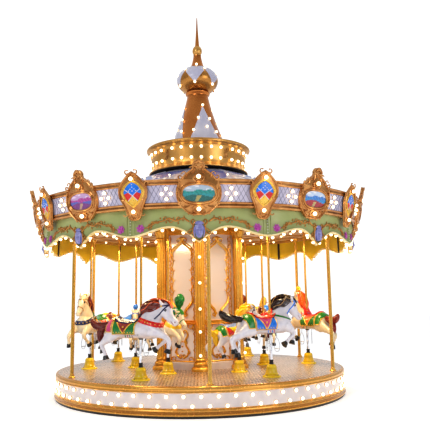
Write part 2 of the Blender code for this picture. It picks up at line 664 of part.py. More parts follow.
build_plinth()
build_platform()
build_bells()
build_outer_poles()
build_horses()
build_cabinet()
build_ceiling()
build_boards()
build_valance()
build_roof()
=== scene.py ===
"""Looks of a small fairground carousel: a lit platform, a scalloped crown and twelve painted horses."""

from math import asin, atan2, cos, degrees, exp, pi, radians, sin, sqrt, tan, tau

import bmesh
import bpy
import numpy as np
from mathutils import Matrix, Vector
from mathutils.bvhtree import BVHTree


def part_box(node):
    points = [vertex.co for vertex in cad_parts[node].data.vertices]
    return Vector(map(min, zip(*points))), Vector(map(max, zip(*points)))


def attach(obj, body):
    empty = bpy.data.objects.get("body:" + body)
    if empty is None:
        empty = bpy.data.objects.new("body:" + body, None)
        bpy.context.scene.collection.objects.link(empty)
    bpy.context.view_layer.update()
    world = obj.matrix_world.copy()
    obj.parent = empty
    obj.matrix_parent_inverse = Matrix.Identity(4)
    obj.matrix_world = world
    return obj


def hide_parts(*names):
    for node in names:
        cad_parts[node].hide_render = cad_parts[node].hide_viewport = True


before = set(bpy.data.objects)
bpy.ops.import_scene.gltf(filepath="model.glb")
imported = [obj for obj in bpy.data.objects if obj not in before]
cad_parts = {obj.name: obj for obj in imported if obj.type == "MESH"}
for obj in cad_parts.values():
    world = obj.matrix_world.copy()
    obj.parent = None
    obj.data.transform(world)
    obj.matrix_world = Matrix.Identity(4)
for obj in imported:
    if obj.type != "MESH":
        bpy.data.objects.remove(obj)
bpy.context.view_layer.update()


# Plinth
# The machine stands on a low black steel ring, bolted together from rolled plate and painted matt black.

WELD = 0.00001


def shaped(vertices, faces):
    """A loose shape: its points as an array and its faces."""
    return np.array(vertices, float).reshape(-1, 3), faces


def turned(profile, steps, closed=False):
    """A turned shape from (radius, height) pairs that run down the outer side."""
    rows = len(profile)
    vertices = []
    for step in range(steps):
        turn = tau * step / steps
        vertices += [(radius * sin(turn), -radius * cos(turn), height) for radius, height in profile]
    faces = []
    spans = rows if closed else rows - 1
    for step in range(steps):
        here, there = step * rows, (step + 1) % steps * rows
        for row in range(spans):
            lower = (row + 1) % rows
            faces.append((here + row, here + lower, there + lower, there + row))
    return shaped(vertices, faces)


def placed(shape, matrix):
    """The same shape moved by a matrix."""
    points, faces = shape
    turn = np.array(matrix.to_3x3())
    return points @ turn.T + np.array(matrix.translation), faces


def metres(rows):
    """Rows of millimetres as rows of metres."""
    return [tuple(value / 1000 for value in row) for row in rows]


def below(level, rows):
    """A profile from radii and drops below a level, both in millimetres."""
    return [(radius / 1000, level - drop / 1000) for radius, drop in rows]


def link_mesh(name, mesh):
    """Puts a mesh into the scene as an object at the origin."""
    made = bpy.data.objects.new(name, mesh)
    bpy.context.scene.collection.objects.link(made)
    return made


def make_piece(name, shapes, finishes, stands_for=(), body="turntable", sharp=40, stand=None):
    """One piece from loose shapes, each with its finish's number. It hides the solids it stands for."""
    vertices, faces, numbers, base = [], [], [], 0
    for (points, polygons), number in shapes:
        vertices.append(points)
        faces += [tuple(index + base for index in polygon) for polygon in polygons]
        numbers += [number] * len(polygons)
        base += len(points)
    mesh = bpy.data.meshes.new(name)
    mesh.from_pydata(np.concatenate(vertices).tolist(), [], faces)
    if stand:
        mesh.transform(stand)
    for finish in finishes:
        mesh.materials.append(finish)
    mesh.polygons.foreach_set("material_index", numbers)
    tidy = bmesh.new()
    tidy.from_mesh(mesh)
    bmesh.ops.remove_doubles(tidy, verts=tidy.verts, dist=WELD)
    bmesh.ops.dissolve_degenerate(tidy, edges=tidy.edges, dist=WELD)
    bmesh.ops.recalc_face_normals(tidy, faces=tidy.faces)
    tidy.to_mesh(mesh)
    tidy.free()
    mesh.shade_smooth()
    mesh.set_sharp_from_angle(angle=radians(sharp))
    piece = link_mesh(name, mesh)
    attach(piece, body)
    if stands_for:
        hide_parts(*stands_for)
    return piece


def preset(node, **values):
    """Sets inputs of a node. An underscore stands for the space in an input's name."""
    for name, value in values.items():
        node.inputs[name.replace("_", " ")].default_value = value


def painted(name, tone, second, roughness=0.35, metallic=0.0, coat=0.0, patch=6.0, grain=60.0, relief=0.08,
            hollow_shade=None):
    """Paint: two tones in soft patches, uneven gloss and a fine surface, with painted shade darkening its
    hollows.
    """
    material = bpy.data.materials.new(name)
    material.use_nodes = True
    nodes, links = material.node_tree.nodes, material.node_tree.links
    shader = nodes["Principled BSDF"]
    preset(shader, Metallic=metallic, Coat_Weight=coat, Coat_Roughness=0.08)
    place = nodes.new("ShaderNodeTexCoord")
    patches = nodes.new("ShaderNodeTexNoise")
    preset(patches, Scale=patch, Detail=4.0)
    links.new(place.outputs["Object"], patches.inputs["Vector"])
    tones = nodes.new("ShaderNodeValToRGB")
    for stop, position, colour in zip(tones.color_ramp.elements, (0.35, 0.68), (tone, second)):
        stop.position, stop.color = position, (*colour, 1)
    links.new(patches.outputs["Fac"], tones.inputs["Fac"])
    colour = tones.outputs["Color"]
    # Painted shade: where the surface curves inward, its colour is mixed toward a darker shade colour.
    if hollow_shade:
        shape = nodes.new("ShaderNodeNewGeometry")
        depth = nodes.new("ShaderNodeMapRange")
        preset(depth, From_Min=0.42, From_Max=0.52)
        links.new(shape.outputs["Pointiness"], depth.inputs["Value"])
        hollow_shading = nodes.new("ShaderNodeMix")
        hollow_shading.data_type = "RGBA"
        preset(hollow_shading, A=(*hollow_shade, 1))
        links.new(depth.outputs["Result"], hollow_shading.inputs["Factor"])
        links.new(colour, hollow_shading.inputs["B"])
        colour = hollow_shading.outputs["Result"]
    links.new(colour, shader.inputs["Base Color"])
    fine = nodes.new("ShaderNodeTexNoise")
    preset(fine, Scale=grain, Detail=3.0)
    links.new(place.outputs["Object"], fine.inputs["Vector"])
    gloss = nodes.new("ShaderNodeMapRange")
    preset(gloss, To_Min=roughness * 0.8, To_Max=roughness * 1.25)
    links.new(fine.outputs["Fac"], gloss.inputs["Value"])
    links.new(gloss.outputs["Result"], shader.inputs["Roughness"])
    bump = nodes.new("ShaderNodeBump")
    preset(bump, Strength=relief, Distance=0.002)
    links.new(fine.outputs["Fac"], bump.inputs["Height"])
    links.new(bump.outputs["Normal"], shader.inputs["Normal"])
    return material


black_paint = painted("black_paint", (0.012, 0.012, 0.013), (0.022, 0.021, 0.022), roughness=0.45)

plinth_low, plinth_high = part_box("base_plinth")
plinth_radius = plinth_high.y
plinth_profile = [(0.0, plinth_high.z), (plinth_radius - 0.006, plinth_high.z),
        (plinth_radius, plinth_high.z - 0.006), (plinth_radius, plinth_low.z), (0.0, plinth_low.z)]
make_piece("plinth_ring", [(turned(plinth_profile, 144), 0)], [black_paint], ["base_plinth"],
        "base")


# Platform rim
# A pressed gold nosing and a gold foot moulding run round the platform, with a white lacquered band between
# them that carries two staggered rows of lamps in brass collars.

RIM_LAMPS = 66
RIM_LAMP_RADIUS = 0.021
RIM_LAMP_HEIGHTS = (0.249, 0.14)
RIM_INSIDE = 2.08
BAND_TOP_RADIUS, BAND_FOOT_RADIUS = 2.126, 2.128
NOSING_UNDERSIDE = 0.3407

gold_paint = painted("gold_paint", (0.62, 0.3, 0.055), (0.74, 0.4, 0.1), roughness=0.25, metallic=0.7,
        patch=1.6, relief=0.02, hollow_shade=(0.22, 0.07, 0.012))
lamp_collar = painted("lamp_collar", (0.7, 0.36, 0.09), (0.85, 0.5, 0.16), roughness=0.25, metallic=0.9)
white_lacquer = painted("white_lacquer", (0.56, 0.51, 0.54), (0.7, 0.65, 0.68), roughness=0.14, coat=0.6,
        patch=3.0)


def lamp_glass(name, colour, strength):
    """A frosted globe lit from inside, a little brighter in its middle."""
    material = bpy.data.materials.new(name)
    material.use_nodes = True
    nodes, links = material.node_tree.nodes, material.node_tree.links
    shader = nodes["Principled BSDF"]
    preset(shader, Base_Color=(*colour, 1), Roughness=0.2, Emission_Color=(*colour, 1))
    facing = nodes.new("ShaderNodeLayerWeight")
    preset(facing, Blend=0.35)
    glow = nodes.new("ShaderNodeMapRange")
    preset(glow, To_Min=strength, To_Max=strength * 0.45)
    links.new(facing.outputs["Facing"], glow.inputs["Value"])
    links.new(glow.outputs["Result"], shader.inputs["Emission Strength"])
    return material


lamp_light = lamp_glass("lamp_light", (1.0, 0.82, 0.52), 3.2)


def globe(radius, rings=6, sides=10):
    """A round lamp, its axis along Z."""
    profile = [(radius * sin(pi * ring / rings), radius * cos(pi * ring / rings)) for ring in range(rings + 1)]
    return turned(profile, sides)


def facing_out(point, outward):
    """A frame at a point, its Z axis pointing outward."""
    return Matrix.Translation(point) @ Vector(outward).to_track_quat("Z", "Y").to_matrix().to_4x4()


def lamps(places, radius):
    """Globes in short collars. Each place is a point on the surface and the direction out of it."""
    glass = globe(radius)
    collar = turned([(radius * 0.55, radius * 0.55), (radius * 0.95, radius * 0.4), (radius * 1.05, 0.0),
                     (radius * 0.95, -radius * 0.3), (radius * 0.2, -radius * 0.3)], 8, closed=True)
    shapes = []
    for point, outward in places:
        seat = facing_out(point, outward)
        shapes.append((placed(glass, seat @ Matrix.Translation((0, 0, radius * 0.85))), 0))
        shapes.append((placed(collar, seat), 1))
    return shapes


def lamp_piece(name, places, radius):
    make_piece(name, lamps(places, radius), [lamp_light, lamp_collar])


def ring_point(angle, radius, height):
    """A point at an angle in degrees from the front, positive towards +X."""
    turn = radians(angle)
    return Vector((radius * sin(turn), -radius * cos(turn), height))


def ring_out(angle, rise=0.0):
    return Vector((sin(radians(angle)), -cos(radians(angle)), rise))


def lamp_place(angle, radius, height, rise=0.0):
    """A lamp's seat on a round surface. Rise is how far the surface faces up or down."""
    return ring_point(angle, radius, height), ring_out(angle, rise)


band_low, band_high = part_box("rim_light_band")
foot_low, foot_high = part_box("rim_lower_moulding")
nose_low, nose_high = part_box("rim_upper_moulding")
band_profile = [(RIM_INSIDE, band_high.z), (BAND_TOP_RADIUS, band_high.z), (BAND_FOOT_RADIUS, band_low.z),
                (RIM_INSIDE, band_low.z)]
make_piece("rim_band", [(turned(band_profile, 180, True), 0)], [white_lacquer],
           ["rim_light_band"])
foot_profile = below(foot_high.z, [(2080, 0), (2130, 0), (2137, 6), (2138, 14), (2147, 18), (2151, 28),
        (2147, 38), (2140, 42)])
foot_profile += [(2.142, 0.05), (2.151, 0.044), (2.152, foot_low.z), (RIM_INSIDE, foot_low.z)]
make_piece("rim_foot", [(turned(foot_profile, 180, True), 0)], [gold_paint],
           ["rim_lower_moulding"])
nose_profile = below(nose_high.z, [(2101, 0), (2118, 2), (2131, 10), (2139, 24), (2141, 40), (2136, 50),
        (2137, 58)])
nose_profile += [(2.141, nose_low.z + 0.006), (2.137, nose_low.z), (RIM_INSIDE, nose_low.z),
                 (RIM_INSIDE, NOSING_UNDERSIDE), (2.101, NOSING_UNDERSIDE)]
make_piece("rim_nosing", [(turned(nose_profile, 180, True), 0)], [gold_paint],
           ["rim_upper_moulding"])
rim_places = [lamp_place((index + row / 2) * 360 / RIM_LAMPS, BAND_FOOT_RADIUS, height)
              for row, height in enumerate(RIM_LAMP_HEIGHTS) for index in range(RIM_LAMPS)]
lamp_piece("rim_lamps", rim_places, RIM_LAMP_RADIUS)


# Deck
# Ribbed aluminium tread plate lies over the platform in one bright disc. Its ribs are pressed in and worn
# smooth.

DECK_STEPS = 180
DECK_RADIUS = 2.1007
RIB_SCALE = 7.6

deck_low, deck_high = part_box("deck")
FLOOR = deck_high.z


def ribbed_plate(name, tone, second):
    """Bright plate with rows of raised ribs, with shade painted dark into the grooves between them."""
    material = painted(name, tone, second, roughness=0.27, metallic=0.5, patch=1.6, grain=38.0, relief=0.04)
    nodes, links = material.node_tree.nodes, material.node_tree.links
    place = next(node for node in nodes if node.type == "TEX_COORD")
    fine = next(node for node in nodes if node.type == "BUMP")
    shader = nodes["Principled BSDF"]
    colour = shader.inputs["Base Color"].links[0].from_socket
    normal = fine.outputs["Normal"]
    # Painted shade: each set of ribs multiplies the colour darker in the grooves between them.
    for direction, share in (("X", 0.5), ("Y", 0.3)):
        ribs = nodes.new("ShaderNodeTexWave")
        ribs.bands_direction = direction
        preset(ribs, Scale=RIB_SCALE, Distortion=0.15)
        links.new(place.outputs["Object"], ribs.inputs["Vector"])
        groove_shade = nodes.new("ShaderNodeMix")
        groove_shade.data_type, groove_shade.blend_type = "RGBA", "MULTIPLY"
        preset(groove_shade, Factor=share)
        links.new(colour, groove_shade.inputs[6])
        links.new(ribs.outputs["Color"], groove_shade.inputs[7])
        colour = groove_shade.outputs[2]
        pressed = nodes.new("ShaderNodeBump")
        preset(pressed, Strength=share, Distance=0.0015)
        links.new(ribs.outputs["Fac"], pressed.inputs["Height"])
        links.new(normal, pressed.inputs["Normal"])
        normal = pressed.outputs["Normal"]
    links.new(colour, shader.inputs["Base Color"])
    links.new(normal, shader.inputs["Normal"])
    return material


tread_plate = ribbed_plate("tread_plate", (0.8, 0.6, 0.46), (0.94, 0.78, 0.68))
deck_profile = [(0.0, FLOOR), (0.7, FLOOR), (1.4, FLOOR), (DECK_RADIUS, FLOOR), (DECK_RADIUS, deck_low.z),
        (0.0, deck_low.z)]
make_piece("deck_plate", [(turned(deck_profile, DECK_STEPS), 0)], [tread_plate], ["deck"])


# Bells
# Each horse's post slides in a spun steel bell, painted yellow, with a black rubber sleeve at its mouth and
# four bolts through the flange.

BELL_BORE = 21.4

bell_yellow = painted("bell_yellow", (0.88, 0.6, 0.01), (0.95, 0.72, 0.02), roughness=0.26, coat=0.4,
        patch=14.0, hollow_shade=(0.4, 0.2, 0.01))
black_rubber = painted("black_rubber", (0.012, 0.012, 0.013), (0.03, 0.03, 0.03), roughness=0.6, patch=20.0)
bell_shape = turned(metres([(BELL_BORE, 160), (38, 160), (50, 157), (59, 147), (64, 131), (67, 128), (67, 123),
                            (65, 119), (70, 87), (77, 57), (82, 49), (86, 46), (87, 41), (85, 37), (94, 27),
                            (107, 20), (116, 16), (119.5, 9), (119.5, 0.4), (BELL_BORE, 0.4)]), 40, closed=True)
sleeve_shape = turned(metres([(BELL_BORE, 217), (26, 217), (28, 213), (27.5, 206), (25, 202), (25.5, 175),
                              (30, 167), (31, 160.5), (BELL_BORE, 160.5)]), 24, closed=True)
bolt_shape = turned(metres([(0, 8), (4, 8), (6, 6), (6, 0), (0, -4)]), 6)
BOLT_RING, FLANGE_TOP = 0.104, 0.0215


def over_box(low, high, height):
    """A stand over the middle of a box."""
    return Matrix.Translation(((low.x + high.x) / 2, (low.y + high.y) / 2, height))


def four_bolts(stand, ring, height, size=1.0):
    """Four bolts at the corners of a flange."""
    return [placed(bolt_shape, stand @ Matrix.Rotation(radians(45 + 90 * quarter), 4, "Z")
                   @ Matrix.Translation((ring, 0, height)) @ Matrix.Scale(size, 4)) for quarter in range(4)]


horse_names = [f"{ring}_{index + 1}" for ring in ("outer", "inner") for index in range(6)]
for horse in horse_names:
    bell_low, bell_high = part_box("bell_" + horse)
    foot = over_box(bell_low, bell_high, FLOOR)
    shapes = [(placed(bell_shape, foot), 0), (placed(sleeve_shape, foot), 1)]
    shapes += [(bolt, 1) for bolt in four_bolts(foot, BOLT_RING, FLANGE_TOP)]
    make_piece("guide_bell_" + horse, shapes, [bell_yellow, black_rubber], ["bell_" + horse])


# Outer poles
# Six polished brass tubes carry the rim of the crown, each with a cast flange at foot and head and four
# screws through the flange at its foot.

POLE_BOLT_RING, POLE_BOLT_HEIGHT, POLE_BOLT_SIZE = 0.04, 0.012, 0.6

brass = painted("brass", (0.72, 0.4, 0.075), (0.84, 0.5, 0.12), roughness=0.22, metallic=0.75, patch=1.5,
        relief=0.0)
for index in range(6):
    name = f"outer_pole_{index + 1}"
    pole_low, pole_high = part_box(name)
    pole_profile = below(pole_high.z, [(0, 0), (45, 0), (46, 8), (38, 16), (29, 30), (30, 40), (25, 46),
            (24, 52)])
    pole_profile += below(pole_low.z, [(24, -52), (25, -46), (30, -40), (29, -30), (38, -16), (46, -10),
            (45, 0), (0, 0)])
    stand = over_box(pole_low, pole_high, 0)
    shapes = [(placed(turned(pole_profile, 28), stand), 0)]
    shapes += [(bolt, 0) for bolt in four_bolts(stand, POLE_BOLT_RING, pole_low.z + POLE_BOLT_HEIGHT,
            POLE_BOLT_SIZE)]
    make_piece(f"brass_pole_{index + 1}", shapes, [brass], [name])


# Horses
# Each horse is a hollow moulding of glass fibre with its hair and tack moulded on, sprayed white or cream and
# brushed in bright enamels. A brass pole holds it from above, and a twisted chrome post runs down into the
# bell.

INNER_MIDDLE = 0.92
INNER_SCALE = 0.78
HORSE_VOXEL = 0.0085
HORSE_KEPT = 0.13
LEG_SPREAD = 0.082
BODY_AXIS = 1.05
COLLAR, COLLAR_NORMAL = Vector((0.105, 0, 1.158)), (0.24, 0, 0.97)
SIDEWAYS = Vector((0, 1, 0))

HORSE_BODY = metres([(-487, 1075, 40, 45), (-462, 1070, 100, 100), (-390, 1062, 136, 134),
        (-270, 1058, 140, 122), (-100, 1052, 142, 110), (60, 1058, 144, 120), (190, 1080, 128, 142),
        (275, 1100, 90, 110), (305, 1105, 40, 50)])
LEVEL_NECK = metres([(60, 1105, 95, 110), (140, 1180, 83, 127), (215, 1265, 67, 120), (280, 1340, 51, 90),
        (325, 1385, 38, 54)])
LEVEL_HEAD = metres([(312, 1395, 34, 34), (342, 1348, 55, 70), (380, 1278, 56, 88), (420, 1215, 45, 66),
        (466, 1170, 38, 51), (508, 1138, 38, 50), (534, 1120, 27, 35)])
LEVEL_MANE = metres([(20, 1262, 50, 40), (80, 1308, 86, 78), (160, 1338, 98, 94), (240, 1360, 84, 80),
        (318, 1370, 60, 54), (388, 1352, 36, 30)])
HIGH_NECK = metres([(45, 1105, 95, 110), (115, 1205, 84, 124), (160, 1310, 66, 104), (180, 1400, 50, 78),
        (185, 1462, 38, 50)])
HIGH_HEAD = metres([(150, 1495, 34, 34), (200, 1462, 55, 68), (252, 1396, 55, 80), (292, 1332, 44, 60),
        (322, 1282, 37, 48), (346, 1240, 36, 44), (356, 1222, 26, 30)])
HIGH_MANE = metres([(22, 1235, 45, 30), (50, 1315, 76, 56), (84, 1400, 80, 60), (120, 1470, 62, 48),
        (180, 1510, 36, 26)])
LOW_NECK = metres([(80, 1100, 100, 120), (200, 1118, 86, 104), (320, 1134, 68, 84), (400, 1144, 52, 66),
        (450, 1150, 40, 48)])
LOW_HEAD = metres([(425, 1172, 34, 36), (480, 1150, 55, 66), (545, 1122, 54, 70), (605, 1092, 43, 54),
        (655, 1068, 36, 44), (692, 1050, 35, 40), (706, 1043, 26, 30)])
LOW_MANE = metres([(60, 1180, 45, 26), (140, 1200, 74, 40), (240, 1212, 78, 42), (340, 1214, 68, 38),
        (430, 1204, 42, 28)])
HEAD_FORMS = {"level": (LEVEL_NECK, LEVEL_HEAD, LEVEL_MANE), "high": (HIGH_NECK, HIGH_HEAD, HIGH_MANE),
              "low": (LOW_NECK, LOW_HEAD, LOW_MANE)}
STREAMING_TAIL = metres([(-430, 1135, 30, 32), (-520, 1140, 40, 40), (-620, 1144, 45, 45), (-710, 1168, 46, 46),
        (-770, 1208, 38, 38), (-800, 1245, 14, 14)])
TAIL_ROOT = metres([(-430, 1130, 30, 32), (-520, 1108, 44, 45), (-620, 1088, 50, 51), (-705, 1104, 48, 48),
        (-758, 1148, 35, 35), (-778, 1182, 12, 12)])
TAIL_FALL = metres([(-560, 1080, 30, 30), (-622, 1030, 42, 43), (-634, 965, 43, 44), (-610, 905, 36, 36),
        (-575, 868, 12, 12)])
NEAR_FRONT_LEG = metres([(190, 1050, 55, 85), (285, 1022, 50, 65), (365, 992, 38, 46), (430, 956, 31, 36),
        (462, 918, 31, 34), (468, 880, 22, 26), (460, 848, 21, 23), (453, 826, 28, 30), (448, 812, 26, 28)])
FAR_FRONT_LEG = metres([(190, 1050, 55, 85), (255, 1003, 50, 63), (303, 970, 37, 44), (326, 942, 30, 34),
        (315, 912, 30, 32), (268, 875, 22, 25), (222, 842, 21, 23), (196, 822, 28, 29), (180, 810, 26, 27)])
NEAR_HIND_LEG = metres([(-355, 1040, 64, 118), (-430, 962, 52, 84), (-500, 906, 38, 50), (-545, 872, 31, 37),
        (-545, 836, 27, 32), (-516, 786, 22, 26), (-496, 746, 22, 25), (-489, 722, 29, 30),
        (-486, 706, 27, 28)])
FAR_HIND_LEG = metres([(-355, 1040, 64, 118), (-470, 988, 52, 76), (-580, 944, 38, 48), (-672, 908, 30, 37),
        (-690, 880, 28, 32), (-680, 842, 22, 26), (-668, 808, 22, 25), (-662, 786, 29, 30),
        (-658, 772, 27, 28)])
LEGS = [(NEAR_FRONT_LEG, -LEG_SPREAD), (FAR_FRONT_LEG, LEG_SPREAD), (NEAR_HIND_LEG, -LEG_SPREAD),
        (FAR_HIND_LEG, LEG_SPREAD)]


def through(points, steps):
    """A smooth curve through rows of numbers, with a few steps between each two."""
    rows = np.array(points, float)
    rows = np.vstack([2 * rows[0] - rows[1], rows, 2 * rows[-1] - rows[-2]])
    share = np.linspace(0, 1, steps, endpoint=False)[:, None]
    spans = [0.5 * (2 * b + (c - a) * share + (2 * a - 5 * b + 4 * c - d) * share ** 2
                    + (3 * b - a - 3 * c + d) * share ** 3)
             for a, b, c, d in zip(rows, rows[1:], rows[2:], rows[3:])]
    return np.vstack(spans + [rows[-2:-1]])


def joined_rings(rings, sides, closed=False):
    """Faces over rows of points, each row a closed ring."""
    faces = []
    for ring in range(rings if closed else rings - 1):
        here, there = ring * sides, (ring + 1) % rings * sides
        for side in range(sides):
            other = (side + 1) % sides
            faces.append((here + side, here + other, there + other, there + side))
    if not closed:
        faces.append(tuple(range(sides)))
        faces.append(tuple(range((rings - 1) * sides, rings * sides)))
    return faces


def strand(path, width, height, outward, swell=None, sides=5, closed=False):
    """A rounded bar along a path. Outward is one direction or one for each point; swell scales it."""
    points = np.array(path, float)
    count = len(points)
    out = np.broadcast_to(np.array(outward, float), points.shape)
    if closed:
        along = np.roll(points, -1, 0) - np.roll(points, 1, 0)
    else:
        along = np.vstack([points[1:], points[-1:]]) - np.vstack([points[:1], points[:-1]])
    along /= np.linalg.norm(along, axis=1)[:, None]
    across = np.cross(along, out)
    across /= np.linalg.norm(across, axis=1)[:, None]
    upward = np.cross(across, along)
    scale = np.array([swell(index / (count - 1)) if swell else 1.0 for index in range(count)])[:, None]
    turns = [tau * (side + 0.5) / sides for side in range(sides)]
    rings = np.stack([points + across * scale * width * cos(turn) + upward * scale * height * sin(turn)
                      for turn in turns], axis=1)
    return rings.reshape(-1, 3), joined_rings(count, sides, closed)


def tapered(share):
    """Thick in its middle and thin at both ends."""
    return 0.12 + 0.88 * sin(pi * min(max(share, 0.0), 1.0)) ** 0.6


def trailing(share):
    """Thick at its start and thin at its end."""
    return 0.15 + 0.85 * cos(pi / 2 * share) ** 0.7


def limb(stations, side=0.0, sides=18, steps=5):
    """A rounded limb through stations of (x, z, half width, half height)."""
    rows = through(stations, steps)
    path = np.column_stack([rows[:, 0], np.full(len(rows), side), rows[:, 1]])
    return ringed(path, rows[:, 2], rows[:, 3], sides)


def ringed(path, widths, heights, sides):
    points = [Vector(point) for point in path]
    vertices = []
    for index, point in enumerate(points):
        along = (points[min(index + 1, len(points) - 1)] - points[max(index - 1, 0)]).normalized()
        upward = along.cross(SIDEWAYS)
        for side in range(sides):
            turn = tau * side / sides
            vertices.append(point + Vector((0, widths[index] * cos(turn), 0))
                            + upward * (heights[index] * sin(turn)))
    return shaped(vertices, joined_rings(len(points), sides))


def at(point, turn=0.0, axis="Z"):
    """A frame at a point, turned about one axis."""
    return Matrix.Translation(point) @ Matrix.Rotation(turn, 4, axis)


def lump(place, sizes, rings=5, sides=7):
    """A rounded lump of three half sizes in a frame."""
    return placed(globe(1.0, rings, sides), place @ Matrix.Diagonal((*sizes, 1)))


def stud(point, outward, radius, flat=1.0, rings=3, sides=6):
    """A domed stud that faces outward."""
    return placed(globe(radius, rings, sides), facing_out(point, outward) @ Matrix.Diagonal((1, 1, flat, 1)))


def both_sides(centre, radii, tilt=0.0):
    """A lump on each side of the animal, tilted about the Y axis."""
    x, y, z = centre
    return [lump(at((x, side, z), tilt, "Y"), radii, 9, 14) for side in (y, -y)]


def fused(shapes, voxel, kept):
    """One smooth skin over shapes that run into each other."""
    points, faces, base = [], [], 0
    for vertices, polygons in shapes:
        points.append(vertices)
        faces += [tuple(index + base for index in polygon) for polygon in polygons]
        base += len(vertices)
    mesh = bpy.data.meshes.new("loose")
    mesh.from_pydata(np.concatenate(points).tolist(), [], faces)
    repair = bmesh.new()
    repair.from_mesh(mesh)
    bmesh.ops.recalc_face_normals(repair, faces=repair.faces)
    repair.to_mesh(mesh)
    repair.free()
    holder = link_mesh("loose", mesh)
    remesh = holder.modifiers.new("remesh", "REMESH")
    remesh.mode = "VOXEL"
    remesh.voxel_size = voxel
    smooth = holder.modifiers.new("smooth", "SMOOTH")
    smooth.factor = 0.6
    smooth.iterations = 7
    fewer = holder.modifiers.new("fewer", "DECIMATE")
    fewer.ratio = kept
    bpy.context.view_layer.update()
    skin = bpy.data.meshes.new_from_object(holder.evaluated_get(bpy.context.evaluated_depsgraph_get()))
    result = shaped([vertex.co for vertex in skin.vertices],
            [tuple(polygon.vertices) for polygon in skin.polygons])
    bpy.data.objects.remove(holder, do_unlink=True)
    return result


def horse_skin(carriage, lead):
    """The whole animal without its hooves and hair, and a tree of its faces for the tack to lie on."""
    neck, head, mane = HEAD_FORMS[carriage]
    poll, temple, cheek, nose = (Vector((row[0], 0, row[1])) for row in (head[0], head[1], head[2], head[-2]))
    face = (nose - cheek).normalized()
    chin = -face.cross(SIDEWAYS)
    if chin.z > 0:
        chin = -chin
    tilt = atan2(-face.z, face.x)
    shapes = [limb(HORSE_BODY, sides=24), limb(neck), limb(head)]
    shapes += [limb(stations, side * lead, 14, 4) for stations, side in LEGS]
    shapes += both_sides((-0.385, 0.06, 1.04), (0.105, 0.082, 0.135), 0.25)
    shapes += both_sides((0.175, 0.055, 1.075), (0.085, 0.072, 0.125), -0.35)
    shapes += both_sides((0.262, 0.042, 1.055), (0.05, 0.045, 0.06))
    jaw = cheek - face * 0.03 + chin * 0.03
    shapes += both_sides((jaw.x, 0.022, jaw.z), (0.055, 0.036, 0.058), tilt)
    brow = cheek + face * 0.004 - chin * 0.032
    shapes += both_sides((brow.x, 0.036, brow.z), (0.03, 0.018, 0.016), tilt)
    lip = nose + face * 0.01
    shapes += both_sides((lip.x, 0.016, lip.z), (0.03, 0.022, 0.034), tilt)
    for side in (-1, 1):
        root = temple + Vector((0.012, side * 0.044, -0.008))
        tip = root - face * 0.062 + Vector((0, side * 0.028, 0.052))
        bulge = root.lerp(tip, 0.45) + Vector((0, side * 0.008, 0))
        ear = through([(*root, 0.015), (*bulge, 0.023), (*root.lerp(tip, 0.8), 0.014), (*tip, 0.005)], 4)
        shapes.append(ringed(ear[:, :3], ear[:, 3] * 0.75, ear[:, 3], 10))
    skin = fused(shapes, HORSE_VOXEL, HORSE_KEPT)
    tree = BVHTree.FromPolygons([Vector(point) for point in skin[0]], skin[1])
    return {"skin": skin, "tree": tree, "poll": poll, "temple": temple, "cheek": cheek, "nose": nose,
            "face": face, "tilt": tilt, "down": chin, "mane": mane, "lead": lead}


def reach(tree, start, way):
    """Where a ray from inside comes out of the skin."""
    place = tree.ray_cast(Vector(start), Vector(way))[0]
    return place if place is not None else Vector(start) + Vector(way) * 0.05


def grid_sheet(outer, inner, columns):
    """A thin closed sheet between two grids of points, given row by row."""
    count = len(outer)
    rows = count // columns
    faces = []
    for row in range(rows - 1):
        for column in range(columns - 1):
            corner = row * columns + column
            faces.append((corner, corner + 1, corner + columns + 1, corner + columns))
            faces.append(tuple(count + index for index in (corner + columns, corner + columns + 1, corner + 1,
                    corner)))
    rim = ([column for column in range(columns)] + [row * columns + columns - 1 for row in range(1, rows)]
           + [(rows - 1) * columns + column for column in reversed(range(columns - 1))]
           + [row * columns for row in reversed(range(1, rows - 1))])
    for here, there in zip(rim, rim[1:] + rim[:1]):
        faces.append((here, count + here, count + there, there))
    return shaped(list(outer) + list(inner), faces)


def on_body(tree, x, angle, rise=0.0):
    """A place over the skin at an angle in degrees from straight up, and the direction out there."""
    way = Vector((0, sin(radians(angle)), cos(radians(angle))))
    return reach(tree, (x, 0, BODY_AXIS), way) + way * rise, way


def wrap(tree, rows, rise, columns=12):
    """A panel laid round the body. Each row is an angle from the top and its two ends along the body."""
    outer, inner = [], []
    for angle, back, front in rows:
        for column in range(columns):
            x = back + (front - back) * column / (columns - 1)
            place, way = on_body(tree, x, angle)
            outer.append(place + way * (rise(angle, x) if callable(rise) else rise))
            inner.append(place - way * 0.006)
    return grid_sheet(outer, inner, columns)


def wrap_edge(tree, rows, rise, thickness):
    """A cord laid along the edges of such a panel."""
    (first, back, front), (last, last_back, last_front) = rows[0], rows[-1]
    loop = [(row[0], row[1]) for row in reversed(rows)]
    loop += [(first, back + (front - back) * step / 10) for step in range(1, 10)]
    loop += [(row[0], row[2]) for row in rows]
    loop += [(last, last_front + (last_back - last_front) * step / 10) for step in range(1, 10)]
    places, ways = zip(*(on_body(tree, x, angle, rise) for angle, x in loop))
    return strand(places, thickness, thickness, ways, closed=True)


def round_limb(normal, turn):
    """The direction out of a limb, at a turn about the line along it."""
    across = Vector(normal).normalized().cross(SIDEWAYS).normalized()
    return across * cos(turn) + SIDEWAYS * sin(turn)


def belt(tree, centre, normal, width, rise, count=28):
    """A strap round a limb, in the plane square to its normal."""
    outer, inner = [], []
    for step in range(count + 1):
        way = round_limb(normal, tau * step / count)
        for side, lift in ((-1.0, 0.4), (-0.6, 1.0), (0.6, 1.0), (1.0, 0.4)):
            place = reach(tree, centre + Vector(normal).normalized() * (width / 2 * side), way)
            outer.append(place + way * rise * lift)
            inner.append(place - way * 0.004)
    return grid_sheet(outer, inner, 4)


